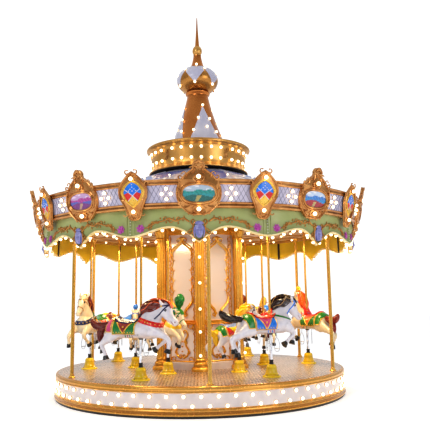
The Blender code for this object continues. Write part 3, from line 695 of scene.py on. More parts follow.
def locks(stations, count, finishes, thick=0.011, wave=0.3):
    """Hair: a core through the stations and wavy locks along it. Each third lock is a thin streak."""
    plain, streak = finishes
    rows = through(stations, 5)
    shapes = [(limb([(x, z, w * 0.86, h * 0.86) for x, z, w, h in stations], sides=12), plain)]
    points = [Vector((row[0], 0, row[1])) for row in rows]
    total = len(rows)
    for number in range(count):
        thin = number % 3 == 1
        path, ways = [], []
        for index in range(total):
            share = index / (total - 1)
            turn = tau * number / count + wave * sin(share * 9.0 + number * 1.7)
            along = (points[min(index + 1, total - 1)] - points[max(index - 1, 0)]).normalized()
            upward = along.cross(SIDEWAYS)
            way = Vector((0, cos(turn), 0)) + upward * sin(turn)
            offset = Vector((0, rows[index][2] * cos(turn), 0)) + upward * (rows[index][3] * sin(turn))
            path.append(points[index] + offset * (1.0 if thin else 0.93))
            ways.append(way)
        width = thick * (0.5 if thin else 1.7)
        shapes.append((strand(path, width, thick * (0.55 if thin else 1.0), ways, tapered),
                       streak if thin else plain))
    return shapes


def enamel(name, tone, second=None, roughness=0.26):
    """Brushed enamel under a clear coat, with painted shade in its hollows."""
    second = second or tuple(min(1.0, value * 1.25 + 0.004) for value in tone)
    # Painted shade: the enamel's hollows take its own tone at about a third of its brightness.
    return painted("enamel_" + name, tone, second, roughness=roughness, coat=0.25, patch=18.0, grain=90.0,
                   relief=0.05, hollow_shade=tuple(value * 0.35 for value in tone))


WHITE = enamel("white", (0.68, 0.66, 0.76), (0.8, 0.78, 0.84), 0.22)
CREAM = enamel("cream", (0.76, 0.65, 0.45), (0.84, 0.75, 0.58), 0.22)
RED = enamel("red", (0.58, 0.012, 0.008))
DARK_RED = enamel("dark_red", (0.22, 0.016, 0.01))
ORANGE = enamel("orange", (0.78, 0.105, 0.012))
YELLOW = enamel("yellow", (0.8, 0.5, 0.018))
GREEN = enamel("green", (0.004, 0.17, 0.022))
BLUE = enamel("blue", (0.01, 0.17, 0.7))
NAVY = enamel("navy", (0.01, 0.015, 0.075))
SKY = enamel("sky", (0.15, 0.27, 0.6))
PINK = enamel("pink", (0.55, 0.055, 0.19))
BROWN = enamel("brown", (0.13, 0.01, 0.005))
DARK_BROWN = enamel("dark_brown", (0.022, 0.01, 0.008))
BEIGE = enamel("beige", (0.42, 0.25, 0.1))
COPPER = enamel("copper", (0.62, 0.18, 0.05))
BLACK = enamel("black", (0.008, 0.008, 0.009))
GOLD = painted("brushed_gold", (0.78, 0.43, 0.05), (0.9, 0.6, 0.14), roughness=0.28, metallic=0.6, patch=20.0)
STEEL = painted("grey_wire", (0.3, 0.3, 0.32), (0.42, 0.42, 0.44), roughness=0.3, metallic=0.9, patch=20.0)
CHROME = painted("chrome", (0.72, 0.72, 0.76), (0.82, 0.82, 0.85), roughness=0.09, metallic=1.0, relief=0.01)

# Body, main hair, its streaks, its upper edge, saddle, its edge, cantle, blanket, its point, its border,
# rear panel, breast strap, bridle
COATS = {
    "outer_1": (WHITE, DARK_BROWN, BEIGE, DARK_BROWN, RED, BLACK, YELLOW, BLUE, PINK, GOLD, GREEN, GREEN, BLUE),
    "outer_2": (CREAM, ORANGE, DARK_RED, ORANGE, RED, ORANGE, YELLOW, GREEN, ORANGE, GOLD, GREEN, SKY, SKY),
    "outer_3": (WHITE, BROWN, COPPER, RED, YELLOW, RED, BLUE, DARK_RED, GREEN, GOLD, BLUE, YELLOW, RED),
    "outer_4": (WHITE, YELLOW, BROWN, YELLOW, BLUE, NAVY, RED, PINK, YELLOW, GOLD, SKY, GREEN, GREEN),
    "outer_5": (CREAM, BROWN, COPPER, YELLOW, GREEN, RED, YELLOW, SKY, RED, GOLD, ORANGE, NAVY, BEIGE),
    "outer_6": (WHITE, BROWN, ORANGE, ORANGE, NAVY, BLACK, NAVY, GREEN, DARK_RED, GOLD, PINK, RED, NAVY),
    "inner_1": (WHITE, YELLOW, ORANGE, YELLOW, SKY, BLUE, BLUE, RED, YELLOW, GOLD, GREEN, GREEN, NAVY),
    "inner_2": (CREAM, BROWN, BEIGE, BROWN, RED, NAVY, ORANGE, BLUE, YELLOW, GOLD, PINK, ORANGE, BLUE),
    "inner_3": (WHITE, YELLOW, BEIGE, ORANGE, GREEN, YELLOW, RED, PINK, BLUE, GOLD, SKY, BLUE, RED),
    "inner_4": (CREAM, DARK_BROWN, COPPER, RED, YELLOW, GREEN, BLUE, RED, GREEN, GOLD, BLUE, YELLOW, GREEN),
    "inner_5": (CREAM, BROWN, DARK_RED, BROWN, ORANGE, BROWN, YELLOW, SKY, RED, GOLD, GREEN, SKY, BLUE),
    "inner_6": (CREAM, GREEN, BLUE, GREEN, ORANGE, RED, YELLOW, BLUE, RED, GOLD, RED, YELLOW, GREEN),
}
CARRIAGES = {"outer_2": "high", "outer_4": "low", "outer_5": "high", "inner_3": "high", "inner_5": "high"}
LEFT_LEADS = ("outer_1", "inner_2", "inner_5")
NOSES_UP = {"inner_1": radians(12)}
FALLING_TAILS = ("outer_2", "outer_4", "outer_6", "inner_1", "inner_2", "inner_4", "inner_6")
TAIL_LENGTHS = {"inner_1": 0.5, "outer_2": 0.85, "outer_5": 0.62}
BARE_NOSES = ("outer_6", "outer_1", "inner_1")
STAR_ANGLE, TASSEL_ANGLE = degrees(1.3), degrees(1.95)
TASSEL = ((0, 0.01, 0), (0.002, 0.012, -0.018), (0.004, 0.006, -0.04))
HIGH_CANTLES = ("outer_3", "inner_2", "inner_4")
NARROW_COLLARS = ("outer_1", "outer_2", "inner_3", "inner_1")
PLUMES = {"inner_5": (BLUE, 0.09, 0.045), "inner_6": (GREEN, 0.25, 0.085), "outer_2": (YELLOW, 0.08, 0.03)}
HEADINGS = {"outer_1": 33, "outer_2": 118, "outer_3": 150, "outer_4": 236, "outer_5": 251, "outer_6": 333,
            "inner_1": 33, "inner_2": 93, "inner_3": 153, "inner_4": 213, "inner_5": 273, "inner_6": 307}
LIFTS = {"outer_1": -0.03, "outer_2": -0.06, "outer_3": 0.05, "outer_4": -0.09, "outer_5": -0.06,
        "outer_6": -0.06, "inner_1": 0.03, "inner_2": 0.01, "inner_3": 0.05, "inner_4": -0.03, "inner_5": -0.06,
        "inner_6": 0.03}


def saddle_rise(cantle):
    """Height of the saddle over the back, from its deep seat up to the pommel and the cantle."""
    def rise(angle, x):
        crown = cos(radians(min(abs(angle) * 1.3, 90)))
        back = cantle * exp(-((x + 0.345) / 0.042) ** 2)
        front = 0.036 * exp(-((x - 0.01) / 0.036) ** 2)
        return 0.009 + (back + front) * (0.25 + 0.75 * crown)
    return rise


def saddlery(horse, form):
    """Saddle, blanket, straps and bridle, laid on the skin."""
    tree = form["tree"]
    seat, seat_edge, cantle, blanket, point, border, rear, strap, bridle = range(9)
    cloth = [(angle, -0.344, -0.01) for angle in range(-110, 111, 10)]
    panel = [(angle, -0.474 + abs(angle) * 0.0002, -0.366) for angle in range(-100, 101, 10)]
    shapes = [(wrap(tree, cloth, 0.008, 16), blanket), (wrap_edge(tree, cloth, 0.008, 0.0065), border),
              (wrap(tree, panel, 0.009, 7), rear), (wrap_edge(tree, panel, 0.009, 0.0055), border)]
    for side in (-1, 1):
        wedge = [(side * angle, -0.178 - 0.112 * (106 - angle) / 56, -0.178 + 0.112 * (106 - angle) / 56)
                 for angle in (50, 60, 70, 80, 90, 99, 105.5)]
        shapes.append((wrap(tree, wedge, 0.012, 9), point))
        for edge in (1, 2):
            rim, ways = zip(*(on_body(tree, row[edge], row[0], 0.013) for row in wedge))
            shapes.append((strand(rim, 0.007, 0.005, ways), border))
        for number in range(8):
            shapes.append((stud(*on_body(tree, -0.325 + number * 0.043, side * 101, 0.01), 0.0085, 0.5),
                    border))
        shapes.append((stud(*on_body(tree, -0.178, side * STAR_ANGLE, 0.014), 0.014, 0.5, 5, 8), border))
        for number in range(4):
            top, _way = on_body(tree, -0.15 + number * 0.034, side * TASSEL_ANGLE)
            tassel = [top + Vector((x, side * y, z)) for x, y, z in TASSEL]
            shapes.append((strand(tassel, 0.005, 0.005, (1, 0, 0), lambda share: 0.6 + share * 0.6),
                           point if number % 2 else blanket))
    high = horse in HIGH_CANTLES
    rise = saddle_rise(0.15 if high else 0.024)
    rows = [(angle, -0.372 + 0.0012 * abs(angle), 0.024 - 0.0016 * abs(angle)) for angle in range(-48, 49, 6)]
    shapes.append((wrap(tree, rows, rise, 30), seat))
    for side in (-1, 1):
        rim, ways = [], []
        for step in range(31):
            x, angle = -0.35 + 0.372 * step / 30, side * (50 - 22 * (abs(step - 15) / 15) ** 2)
            place, way = on_body(tree, x, angle, rise(angle, x) * 0.8 + 0.003)
            rim.append(place)
            ways.append(way)
        shapes.append((strand(rim, 0.015, 0.007, ways, lambda share: 0.45 + 0.55 * sin(pi * share)), seat))
        below_rim = [place + Vector((0, side * 0.011, -0.017)) for place in rim]
        shapes.append((strand(below_rim, 0.007, 0.007, ways, lambda share: 0.55 + 0.45 * sin(pi * share)),
                       seat_edge))
    if high:
        for angle in range(-50, 51, 10):
            for x, finish in ((-0.345, border), (-0.318, cantle)):
                shapes.append((stud(*on_body(tree, x, angle, rise(angle, x) + 0.002), 0.01), finish))
    narrow = horse in NARROW_COLLARS
    shapes.append((belt(tree, COLLAR, COLLAR_NORMAL, 0.022 if narrow else 0.058, 0.01), strap))
    if not narrow:
        for angle in range(-75, 256, 15):
            way = round_limb(COLLAR_NORMAL, radians(angle))
            shapes.append((stud(reach(tree, COLLAR, way) + way * 0.011, way, 0.0095, 0.45), border))
    cheek, temple, nose, face, down = (form[key] for key in ("cheek", "temple", "nose", "face", "down"))
    straps = [(cheek - face * 0.026 - down * 0.006, face, 0.018),
              (temple + down * 0.004, face * 0.82 + down * 0.57, 0.016)]
    if horse not in BARE_NOSES:
        straps.append((cheek + (nose - cheek) * 0.5, face, 0.015))
    shapes += [(belt(tree, place, along, width, 0.006, 24), bridle) for place, along, width in straps]
    for side in (-1, 1):
        spot = reach(tree, temple + down * 0.004, SIDEWAYS * side) + SIDEWAYS * side * 0.006
        shapes.append((stud(spot, (0, side, 0), 0.014, 0.4, 5, 10), border))
    return shapes


def hair(horse, form):
    """Mane, forelock, tail and plume."""
    mane, streak, edge, plume = range(4)
    shapes = locks(form["mane"], 15, (mane, streak))
    crest = [(x, 0, z + h * 0.93) for x, z, _w, h in form["mane"]]
    shapes.append((strand(through(crest, 5), 0.018, 0.012, (0, 1, 0), tapered, 8), edge))
    poll, face, down = form["poll"], form["face"], form["down"]
    for side in (-1.0, -0.35, 0.35, 1.0):
        brow = [poll + face * along - down * up + Vector((0, side * apart, 0)) for along, up, apart in
                ((-0.02, 0.024, 0.014), (0.05, 0.064, 0.019), (0.11, 0.069, 0.022),
                 (0.15 + 0.014 * abs(side), 0.054, 0.024))]
        shapes.append((strand(through(brow, 5), 0.014, 0.012, -down, trailing, 8), edge if side > -1 else mane))
    tail, length = streak if horse == "outer_2" else mane, TAIL_LENGTHS.get(horse, 1.0)
    for stations in (TAIL_ROOT, TAIL_FALL) if horse in FALLING_TAILS else (STREAMING_TAIL,):
        root = TAIL_ROOT[0][0]
        stations = [(root + (x - root) * length, z, width, height) for x, z, width, height in stations]
        shapes += locks(stations, 9, (tail, tail), 0.01)
    if horse in PLUMES:
        tall, wide = PLUMES[horse][1:]
        foot = poll + Vector((0.03, 0, 0.03))
        feather = [(foot.x + tall * along, foot.z + tall * up, wide * thick, wide * thick)
                for along, up, thick in ((0.0, 0.0, 0.3), (0.02, 0.3, 0.8), (0.07, 0.6, 1.0), (0.16, 0.85, 0.8),
                (0.26, 1.0, 0.25))]
        shapes += locks(feather, 9, (plume, plume), 0.01, 0.5)
    return shapes


HOOF = [(-18, 24, 26), (-8, 31, 33), (12, 35, 39), (34, 41, 48), (36, 36, 43)]


def hoof(stations, side):
    """A flared hoof below the last joint of a leg, cut flat."""
    last, before = (Vector((row[0], 0, row[1])) for row in (stations[-1], stations[-3]))
    along = (last - before).normalized()
    rows = [(*(last + along * down).xz, wide, tall) for down, wide, tall in metres(HOOF)]
    return limb(rows, side, 14, 2)


def pole_and_post(pole_top, post_foot, scale):
    """Brass pole with its cup, twisted post and the socket below the belly. Lengths are before scaling."""
    thick = 1.0 / scale
    shapes = [(turned([(0.0, pole_top), (0.0165 * thick, pole_top), (0.0165 * thick, 1.1), (0.0, 1.1)], 20), 0),
              (turned(metres([(0, 1232), (25, 1232), (27, 1222), (26, 1190), (34, 1172), (0, 1172)]), 20), 0)]
    sides, turns = 12, 40
    vertices = []
    for row in range(turns + 1):
        height = 0.99 + (post_foot - 0.99) * row / turns
        for side in range(sides):
            turn = tau * side / sides
            radius = (0.019 + 0.0012 * cos(3 * turn + row * 0.825)) * thick
            vertices.append((radius * cos(turn), radius * sin(turn), height))
    shapes.append((shaped(vertices, joined_rings(turns + 1, sides)), 1))
    shapes.append((turned(metres([(0, 965), (30, 965), (34, 948), (28, 925), (0, 925)]), 20), 2))
    return shapes


def fittings(form):
    """Hooves, eyes, nostrils, mouth and stirrups."""
    tree, cheek, nose, face, down, tilt = (form[key]
            for key in ("tree", "cheek", "nose", "face", "down", "tilt"))
    hoof_part, white_part, wire_part, mouth_part = range(2, 6)
    shapes = [(hoof(stations, side * form["lead"]), hoof_part) for stations, side in LEGS]
    for side in (-1, 1):
        outward = Vector((0, side, 0))
        eye = reach(tree, cheek - down * 0.022 - face * 0.004, outward)
        shapes.append((lump(at(eye - outward * 0.003, tilt, "Y"), (0.017, 0.008, 0.012), 6, 8), white_part))
        shapes.append((lump(at(eye + Vector((0.002, side * 0.002, -0.001))), (0.0105, 0.006, 0.0105), 6, 8),
                hoof_part))
        for lid in (-0.013, 0.011):
            arc = [reach(tree, cheek - down * (0.022 - lid) + face * along, outward) + outward * 0.0025
                   for along in (-0.024, -0.012, 0.0, 0.01, 0.018)]
            shapes.append((strand(arc, 0.0035, 0.003, outward, tapered), hoof_part))
        nostril = reach(tree, nose - down * 0.014 + face * 0.004, outward)
        shapes.append((lump(at(nostril, tilt + 0.5, "Y"), (0.012, 0.004, 0.007), 5, 8), mouth_part))
        line = [reach(tree, nose + down * 0.02 - face * along, outward) + outward * 0.002
                for along in (-0.02, 0.0, 0.02, 0.04, 0.055)]
        shapes.append((strand(line, 0.004, 0.0025, outward, tapered), mouth_part))
        loop = []
        for step in range(20):
            turn = tau * step / 20
            width = 0.034 * sin(turn) * (1.0 - 0.25 * cos(turn))
            loop.append((0.02 + width * 0.8, side * (0.098 + width * 0.6), 0.8 + 0.088 * cos(turn)))
        tread = [(-0.007, side * 0.078, 0.752), (0.047, side * 0.118, 0.752)]
        leather = [(0.02, side * 0.098, 0.886), (0.018, side * 0.096, 0.93), (0.016, side * 0.09, 0.975)]
        shapes += [(strand(loop, 0.0034, 0.0034, (0.6, -0.8, 0), closed=True), wire_part),
                   (strand(tread, 0.006, 0.005, (0, 0, 1)), wire_part),
                   (strand(leather, 0.0034, 0.0034, (1, 0, 0)), wire_part)]
    return shapes


skins = {}
for horse in horse_names:
    kind = (CARRIAGES.get(horse, "level"), -1 if horse in LEFT_LEADS else 1)
    if kind not in skins:
        skins[kind] = horse_skin(*kind)
    form, coat = skins[kind], COATS[horse]
    outer = horse.startswith("outer")
    body = horse.replace("_", "_horse_")
    scale = 1.0 if outer else INNER_SCALE
    horse_low, horse_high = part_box("horse_" + horse)
    bell_low, bell_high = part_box("bell_" + horse)
    middle = (BODY_AXIS if outer else INNER_MIDDLE) + LIFTS[horse]
    pole_top = BODY_AXIS + (horse_high.z - middle) / scale
    post_foot = BODY_AXIS + (horse_low.z - middle) / scale
    stand = (over_box(bell_low, bell_high, middle) @ Matrix.Rotation(radians(HEADINGS[horse]), 4, "Z")
             @ Matrix.Scale(scale, 4))
    upright = stand @ Matrix.Translation((0, 0, -BODY_AXIS))
    stand = stand @ Matrix.Rotation(-NOSES_UP.get(horse, 0.0), 4, "Y") @ Matrix.Translation((0, 0, -BODY_AXIS))
    for name, shapes, finishes, place in (
            ("animal_", [(form["skin"], 0)], [coat[0]], stand),
            ("hair_", hair(horse, form), [*coat[1:4], PLUMES.get(horse, (YELLOW,))[0]], stand),
            ("tack_", saddlery(horse, form), list(coat[4:]), stand),
            ("fittings_", fittings(form), [brass, CHROME, BLACK, WHITE, STEEL, DARK_RED], stand),
            ("pole_", pole_and_post(pole_top, post_foot, scale), [brass, CHROME, BLACK], upright)):
        make_piece(name + horse, shapes, finishes,
                ["horse_" + horse] if name == "animal_" else (), body, stand=place)


# Centre cabinet
# Six painted panels with mirror fields stand between six fluted columns, over the motor. The frames, scrolls
# and mouldings are cast resin, gilded, and each column carries a row of lamps down its outer face.

CABINET_FLAT = 0.6 * cos(pi / 6)
CORE_RADIUS, PLINTH_FOOT_RADIUS, PLINTH_TOP_RADIUS = 0.598, 0.64, 0.628
COLUMN_RING = 0.665
COLUMN_RADIUS = 0.072
COLUMN_LAMPS = (2.235, 1.97, 1.6, 1.23, 0.91, 0.58)
COLUMN_LAMP_RADIUS = 0.021

CABINET_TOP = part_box("centre_cabinet")[1].z

gilt = painted("gilt", (0.7, 0.34, 0.04), (0.9, 0.52, 0.1), roughness=0.25, metallic=0.65, patch=3.0,
        relief=0.03, hollow_shade=(0.22, 0.055, 0.008))
# Painted reflection: the mirror fields keep a faint real sheen, and the pale pinkish grey they reflect is
# painted into their colour.
mirror_painted_reflection = painted("mirror_painted_reflection", (0.7, 0.62, 0.62), (0.74, 0.7, 0.76), roughness=0.16, metallic=0.25,
        coat=0.5, patch=0.9, relief=0.02)
pale_board = painted("pale_board", (0.62, 0.56, 0.62), (0.72, 0.67, 0.72), roughness=0.3, coat=0.3)
UP = (0, 0, 1)


def on_face(angle):
    """Frame on a cabinet face: X across it, Y up, Z out of it."""
    turn = radians(angle)
    return Matrix(((cos(turn), 0, sin(turn), CABINET_FLAT * sin(turn)),
                   (sin(turn), 0, -cos(turn), -CABINET_FLAT * cos(turn)),
                   (0, 1, 0, 0), (0, 0, 0, 1)))


def rail(points, width, height, lift, swell=None, steps=6):
    """A smooth raised line through points of a plane. All in millimetres."""
    path = [(x, y, lift / 1000) for x, y in through(metres(points), steps)]
    return strand(path, width / 1000, height / 1000, UP, swell)


def mirrored(shape):
    points, faces = shape
    return points * np.array([-1.0, 1.0, 1.0]), faces


def both(shapes):
    """Shapes and their mirror images left to right."""
    return shapes + [mirrored(shape) for shape in shapes]


def scroll(x, y, heading, length, bend, last_bend, width, height, lift):
    """A tapering stroke with a bead at its curled end, in millimetres. Its bend is in degrees a metre."""
    x, y, length, width, height, lift = (value / 1000 for value in (x, y, length, width, height, lift))
    turn, steps = radians(heading), 7
    path = [(x, y, lift)]
    for step in range(steps):
        turn += radians(bend + (last_bend - bend) * (step + 0.5) / steps) * length / steps
        x += cos(turn) * length / steps
        y += sin(turn) * length / steps
        path.append((x, y, lift))
    bead = placed(globe(width * 0.85, 3, 6), at(path[-1]))
    return [strand(path, width, height, UP, lambda share: 1.0 - 0.55 * share), bead]


def scrolls(rows):
    """Strokes from a table, with their mirror images."""
    return both([shape for row in rows for shape in scroll(*row)])


def bar(x0, y0, x1, y1, depth, back=-0.004):
    """A plain rectangular board with its edges eased."""
    ease = min(0.005, depth * 0.4)
    rows = [(0, back), (0, depth - ease), (ease, depth)]
    vertices = []
    for inset, level in rows:
        vertices += [(x0 + inset, y0 + inset, level), (x1 - inset, y0 + inset, level),
                     (x1 - inset, y1 - inset, level), (x0 + inset, y1 - inset, level)]
    faces = [(3, 2, 1, 0), (8, 9, 10, 11)]
    for row in range(2):
        for side in range(4):
            other = (side + 1) % 4
            faces.append((row * 4 + side, row * 4 + other, row * 4 + 4 + other, row * 4 + 4 + side))
    return shaped(vertices, faces)


def face_ornament():
    """The gilded work of one cabinet face, in the face's own frame."""
    lines = [rail([(0, 2245), (30, 2190), (90, 2145), (150, 2100), (172, 2050), (166, 2000)], 13, 14, 12),
             rail([(0, 2275), (40, 2220), (100, 2178), (160, 2135), (196, 2080)], 9, 10, 8),
             rail([(182, 1400), (172, 1330), (125, 1272), (72, 1222), (44, 1160), (60, 1110)], 18, 16, 12,
                  lambda share: 0.7 + 0.5 * sin(pi * share)),
             rail([(20, 520), (80, 560), (100, 640), (60, 700), (50, 780), (90, 850), (70, 910)], 14, 14, 10)]
    curls = [(5, 2250, 60, 150, -500, -2600, 13, 14, 14), (10, 2240, 20, 110, 900, 3300, 10, 12, 12),
             (190, 2090, 100, 110, 800, 3600, 10, 12, 12), (46, 1140, -60, 90, 1500, 3600, 12, 14, 12),
             (190, 1000, -95, 150, -500, -1900, 12, 14, 10), (192, 985, -150, 100, 800, 3000, 10, 12, 10),
             (72, 905, 110, 100, 1300, 3700, 12, 13, 10), (58, 720, 30, 120, 900, 3300, 11, 12, 10),
             (96, 640, -10, 100, -900, -3300, 10, 12, 10), (30, 530, 170, 90, -1300, -3900, 10, 12, 10),
             (190, 500, 95, 130, 600, 2400, 11, 13, 10)]
    for top in (1990, 1840, 1690, 1540):
        curls += [(172, top, -105, 105, -700, 2600, 10, 12, 10),
                (172, top - 5, -70, 85, -900, -2900, 8, 10, 10)]
        lines.append(rail([(186, top + 10), (158, top - 60), (180, top - 150)], 7, 10, 8))
    curls += [(160 - number * 22, 1312 - number * 26, 150 + number * 6, 50, 1200, 3800, 7, 10, 18)
              for number in range(6)]
    for step in range(30):
        side = (-1) ** step
        curls.append((214 + 8 * side, 560 + step * 58, 90 - 60 * side, 70, 1000 * side, 3400 * side, 8, 12, 8))
    lines += [bar(0.198, 0.475, 0.203, 2.32, 0.012), bar(0.232, 0.475, 0.24, 2.32, 0.014)]
    beads = [placed(globe(0.013, 5, 8), at((0, 0.62 + number * 0.07, 0.012))) for number in range(5)]
    return both(lines) + scrolls(curls) + beads + [bar(-0.245, low, 0.245, high, depth)
            for low, high, depth in ((1.052, 1.066, 0.026), (1.016, 1.052, 0.018), (1.004, 1.016, 0.026),
            (0.47, 0.49, 0.03), (2.33, 2.4195, 0.03))]


def fluted_column():
    """Twelve flutes between a capital and a base, each with its own mouldings."""
    low, high = FLOOR + 0.165, CABINET_TOP - 0.15
    sides, rows = 72, ((low, 0.0), (low + 0.02, 1.0), (high - 0.02, 1.0), (high, 0.0))
    vertices = []
    for height, depth in rows:
        for side in range(sides):
            turn = tau * side / sides
            hollow = max(0.0, cos(12 * turn)) ** 0.7
            radius = COLUMN_RADIUS - 0.0095 * depth * hollow
            vertices.append((radius * sin(turn), -radius * cos(turn), height))
    shaft = shaped(vertices, joined_rings(len(rows), sides))
    foot = FLOOR + 0.0005
    base = turned(below(low, [(0, -4), (74, -4), (80, 4), (80, 14), (74, 22), (78, 40), (92, 56), (100, 60),
            (104, 70), (100, 80), (104, 100), (118, 112), (128, 120), (133, 132)])
            + below(foot, [(133, -6), (131, 0), (0, 0)]), 40)
    cap = turned(below(CABINET_TOP, [(0, 0), (108, 0), (110, 12), (104, 22), (108, 34), (104, 50), (92, 72),
            (82, 100)]) + below(high, [(78, -22), (82, -14), (82, -4), (74, 6), (0, 6)]), 40)
    leaves = []
    for number in range(10):
        turn = Matrix.Rotation(tau * number / 10, 4, "Z")
        path = [(x, 0, high + up) for x, up in metres([(79, 20), (88, 62), (103, 95), (113, 88)])]
        leaves.append(placed(strand(through(path, 4), 0.018, 0.006, (1, 0, 0.3), tapered), turn))
    return [shaft, base, cap] + leaves


core = shaped([ring_point(60 * corner, CORE_RADIUS, height) for height in (FLOOR + 0.09, CABINET_TOP)
               for corner in range(6)], joined_rings(2, 6))
cabinet_plinth = shaped([ring_point(60 * corner, radius, FLOOR + rise) for radius, rise in
                         ((PLINTH_FOOT_RADIUS, 0.0005), (PLINTH_FOOT_RADIUS, 0.1), (PLINTH_TOP_RADIUS, 0.11))
                         for corner in range(6)], joined_rings(3, 6))
make_piece("cabinet_panels", [(core, 0), (cabinet_plinth, 1)], [mirror_painted_reflection, pale_board],
        ["centre_cabinet"])
ornament, column = face_ornament(), fluted_column()
make_piece("cabinet_frames", [(placed(part, on_face(30 + 60 * side)), 0) for side in range(6)
        for part in ornament], [gilt])
make_piece("cabinet_columns", [(placed(part, Matrix.Rotation(tau * side / 6, 4, "Z")
                                       @ Matrix.Translation((0, -COLUMN_RING, 0))), 0)
                               for side in range(6) for part in column], [gilt], sharp=32)
lamp_piece("column_lamps", [lamp_place(60 * side, COLUMN_RING + COLUMN_RADIUS, height)
                            for side in range(6) for height in COLUMN_LAMPS], COLUMN_LAMP_RADIUS)


# Ceiling
# The ceiling is a gold-lacquered plate. Turned mouldings and radial ribs are glued under it, with lamps
# between.

CEILING_RINGS = ((2.27, 0.045), (1.86, 0.03), (1.33, 0.026), (0.84, 0.04))
CEILING_LAMP_RINGS = ((2.06, 30), (1.5, 24))

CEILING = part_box("ceiling")[0].z
ceiling_gold = painted("ceiling_gold", (0.42, 0.19, 0.035), (0.58, 0.3, 0.06), roughness=0.33, metallic=0.55,
        patch=2.5, hollow_shade=(0.16, 0.05, 0.01))
ceiling_shapes = []
for radius, width in CEILING_RINGS:
    half = [(1.0, -0.001), (1.0, 0.01), (0.6, 0.014), (0.4, 0.024), (0.0, 0.028)]
    ring = [(radius + width * share, CEILING - drop) for share, drop in half]
    ring += [(radius - width * share, CEILING - drop) for share, drop in half[-2::-1]]
    ceiling_shapes.append((turned(ring[::-1], 96, True), 0))
for number in range(18):
    rib = bar(-0.018, 0.88, 0.018, 2.235, 0.016)
    turn = Matrix.Rotation(radians(10 + 20 * number), 4, "Z")
    over = Matrix.Translation((0, 0, CEILING)) @ Matrix.Rotation(pi, 4, "X")
    ceiling_shapes.append((placed(rib, turn @ over), 0))
make_piece("ceiling_mouldings", ceiling_shapes, [ceiling_gold])
ceiling_plate = bpy.data.objects["ceiling"]
for place in range(max(1, len(ceiling_plate.material_slots))):
    ceiling_plate.material_slots[place].material = ceiling_gold
lamp_piece("ceiling_lamps", [(ring_point(360 * (number + 0.5) / count, radius, CEILING), Vector((0, 0, -1)))
                             for radius, count in CEILING_LAMP_RINGS for number in range(count)], 0.019)


# Valance
# Nine moulded scallops hang under the boards, painted sage green with a cream edge. Gilded vines, painted
# flowers and a calm mask at each tip are screwed on, and a string of lamps follows the edge.

VALANCE_COUNT = 9
VALANCE_STEP = 40.0
VALANCE_TIP, VALANCE_SEAM, VALANCE_PEAK, VALANCE_PEAK_ANGLE = 2.017, 2.092, 2.195, 8.3
VALANCE_TOP_RADIUS, VALANCE_BOTTOM_RADIUS, VALANCE_SWELL = 2.372, 2.325, 0.058
VALANCE_WALL = 0.03
EDGE_LAMP_ANGLES = (1.6, 4.6, 7.6, 10.6, 14.2, 18.2)
VALANCE_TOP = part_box("valance_1")[1].z

sage = painted("sage_green", (0.34, 0.39, 0.14), (0.43, 0.47, 0.2), roughness=0.42, coat=0.15, patch=3.5,
               hollow_shade=(0.18, 0.2, 0.06))
# Painted light: the inside of the scallops is yellow paint with the warm glow of the lamps painted into it.
glow_painted_yellow = painted("valance_inside_lamp_glow", (0.72, 0.52, 0.014), (0.88, 0.66, 0.03), roughness=0.5, patch=3.0)
cream_edge = painted("cream_edge", (0.8, 0.62, 0.26), (0.88, 0.74, 0.42), roughness=0.3, coat=0.3, patch=12.0)
vine_gold = painted("vine_gold", (0.36, 0.14, 0.03), (0.58, 0.28, 0.07), roughness=0.3, metallic=0.55,
        patch=20.0, hollow_shade=(0.12, 0.03, 0.008))
flower_paint = painted("flower_magenta", (0.42, 0.05, 0.34), (0.6, 0.14, 0.5), roughness=0.4, patch=26.0,
                       hollow_shade=(0.16, 0.01, 0.12))
mask_paint = painted("mask_blue", (0.19, 0.19, 0.48), (0.34, 0.34, 0.64), roughness=0.35, coat=0.3, patch=16.0,
                     hollow_shade=(0.035, 0.035, 0.13))
seam_white = painted("seam_white", (0.58, 0.58, 0.42), (0.74, 0.72, 0.6), roughness=0.4, patch=9.0)
# Painted shade: a near-black for the shadowed gaps at the seams between the scallops.
seam_gap_shade = painted("seam_gap_shade", (0.016, 0.013, 0.01), (0.03, 0.025, 0.02), roughness=0.5, patch=9.0)


def valance_radius(angle, height):
    """Outer face: it leans out as it rises, and swells towards each seam. The angle is from the tip."""
    share = (height - VALANCE_TIP) / (VALANCE_TOP - VALANCE_TIP)
    plain = VALANCE_BOTTOM_RADIUS + share * (VALANCE_TOP_RADIUS - VALANCE_BOTTOM_RADIUS)
    return plain + VALANCE_SWELL * (1 - share) * (1 - cos(radians(angle) * VALANCE_COUNT)) / 2


def valance_edge(angle):
    """Height of the scalloped edge, from the tip at 0 to the seam at 20 degrees."""
    side = abs(angle)
    if side < VALANCE_PEAK_ANGLE:
        return VALANCE_TIP + (VALANCE_PEAK - VALANCE_TIP) * sin(side / VALANCE_PEAK_ANGLE * pi / 2)
    share = (side - VALANCE_PEAK_ANGLE) / (VALANCE_STEP / 2 - VALANCE_PEAK_ANGLE)
    return VALANCE_SEAM + (VALANCE_PEAK - VALANCE_SEAM) * (1 + cos(share * pi)) / 2


def laid(shape, middle, wide, radius_at):
    """Lays a flat shape, X along and Y at its true height, on a round surface about an angle."""
    points, faces = shape
    vertices = []
    for x, height, proud in points:
        angle = middle + degrees(x / wide)
        vertices.append(ring_point(angle, radius_at(angle, height) + proud, height))
    return shaped(vertices, faces)


def on_valance(shape, middle=0):
    return laid(shape, middle, VALANCE_TOP_RADIUS, valance_radius)


def swept(columns, finishes, end_finish):
    """A closed moulding through columns of points, its sides in groups of one finish, and its ends."""
    rows, steps = len(columns[0]), len(columns) - 1
    vertices = [point for column in columns for point in column]
    parts = []
    for finish, sides in finishes:
        faces = [(step * rows + side, step * rows + (side + 1) % rows, (step + 1) * rows + (side + 1) % rows,
                  (step + 1) * rows + side) for step in range(steps) for side in sides]
        parts.append((shaped(vertices, faces), finish))
    ends = [tuple(range(rows)), tuple(range(steps * rows, (steps + 1) * rows))]
    return parts + [(shaped(vertices, ends), end_finish)]


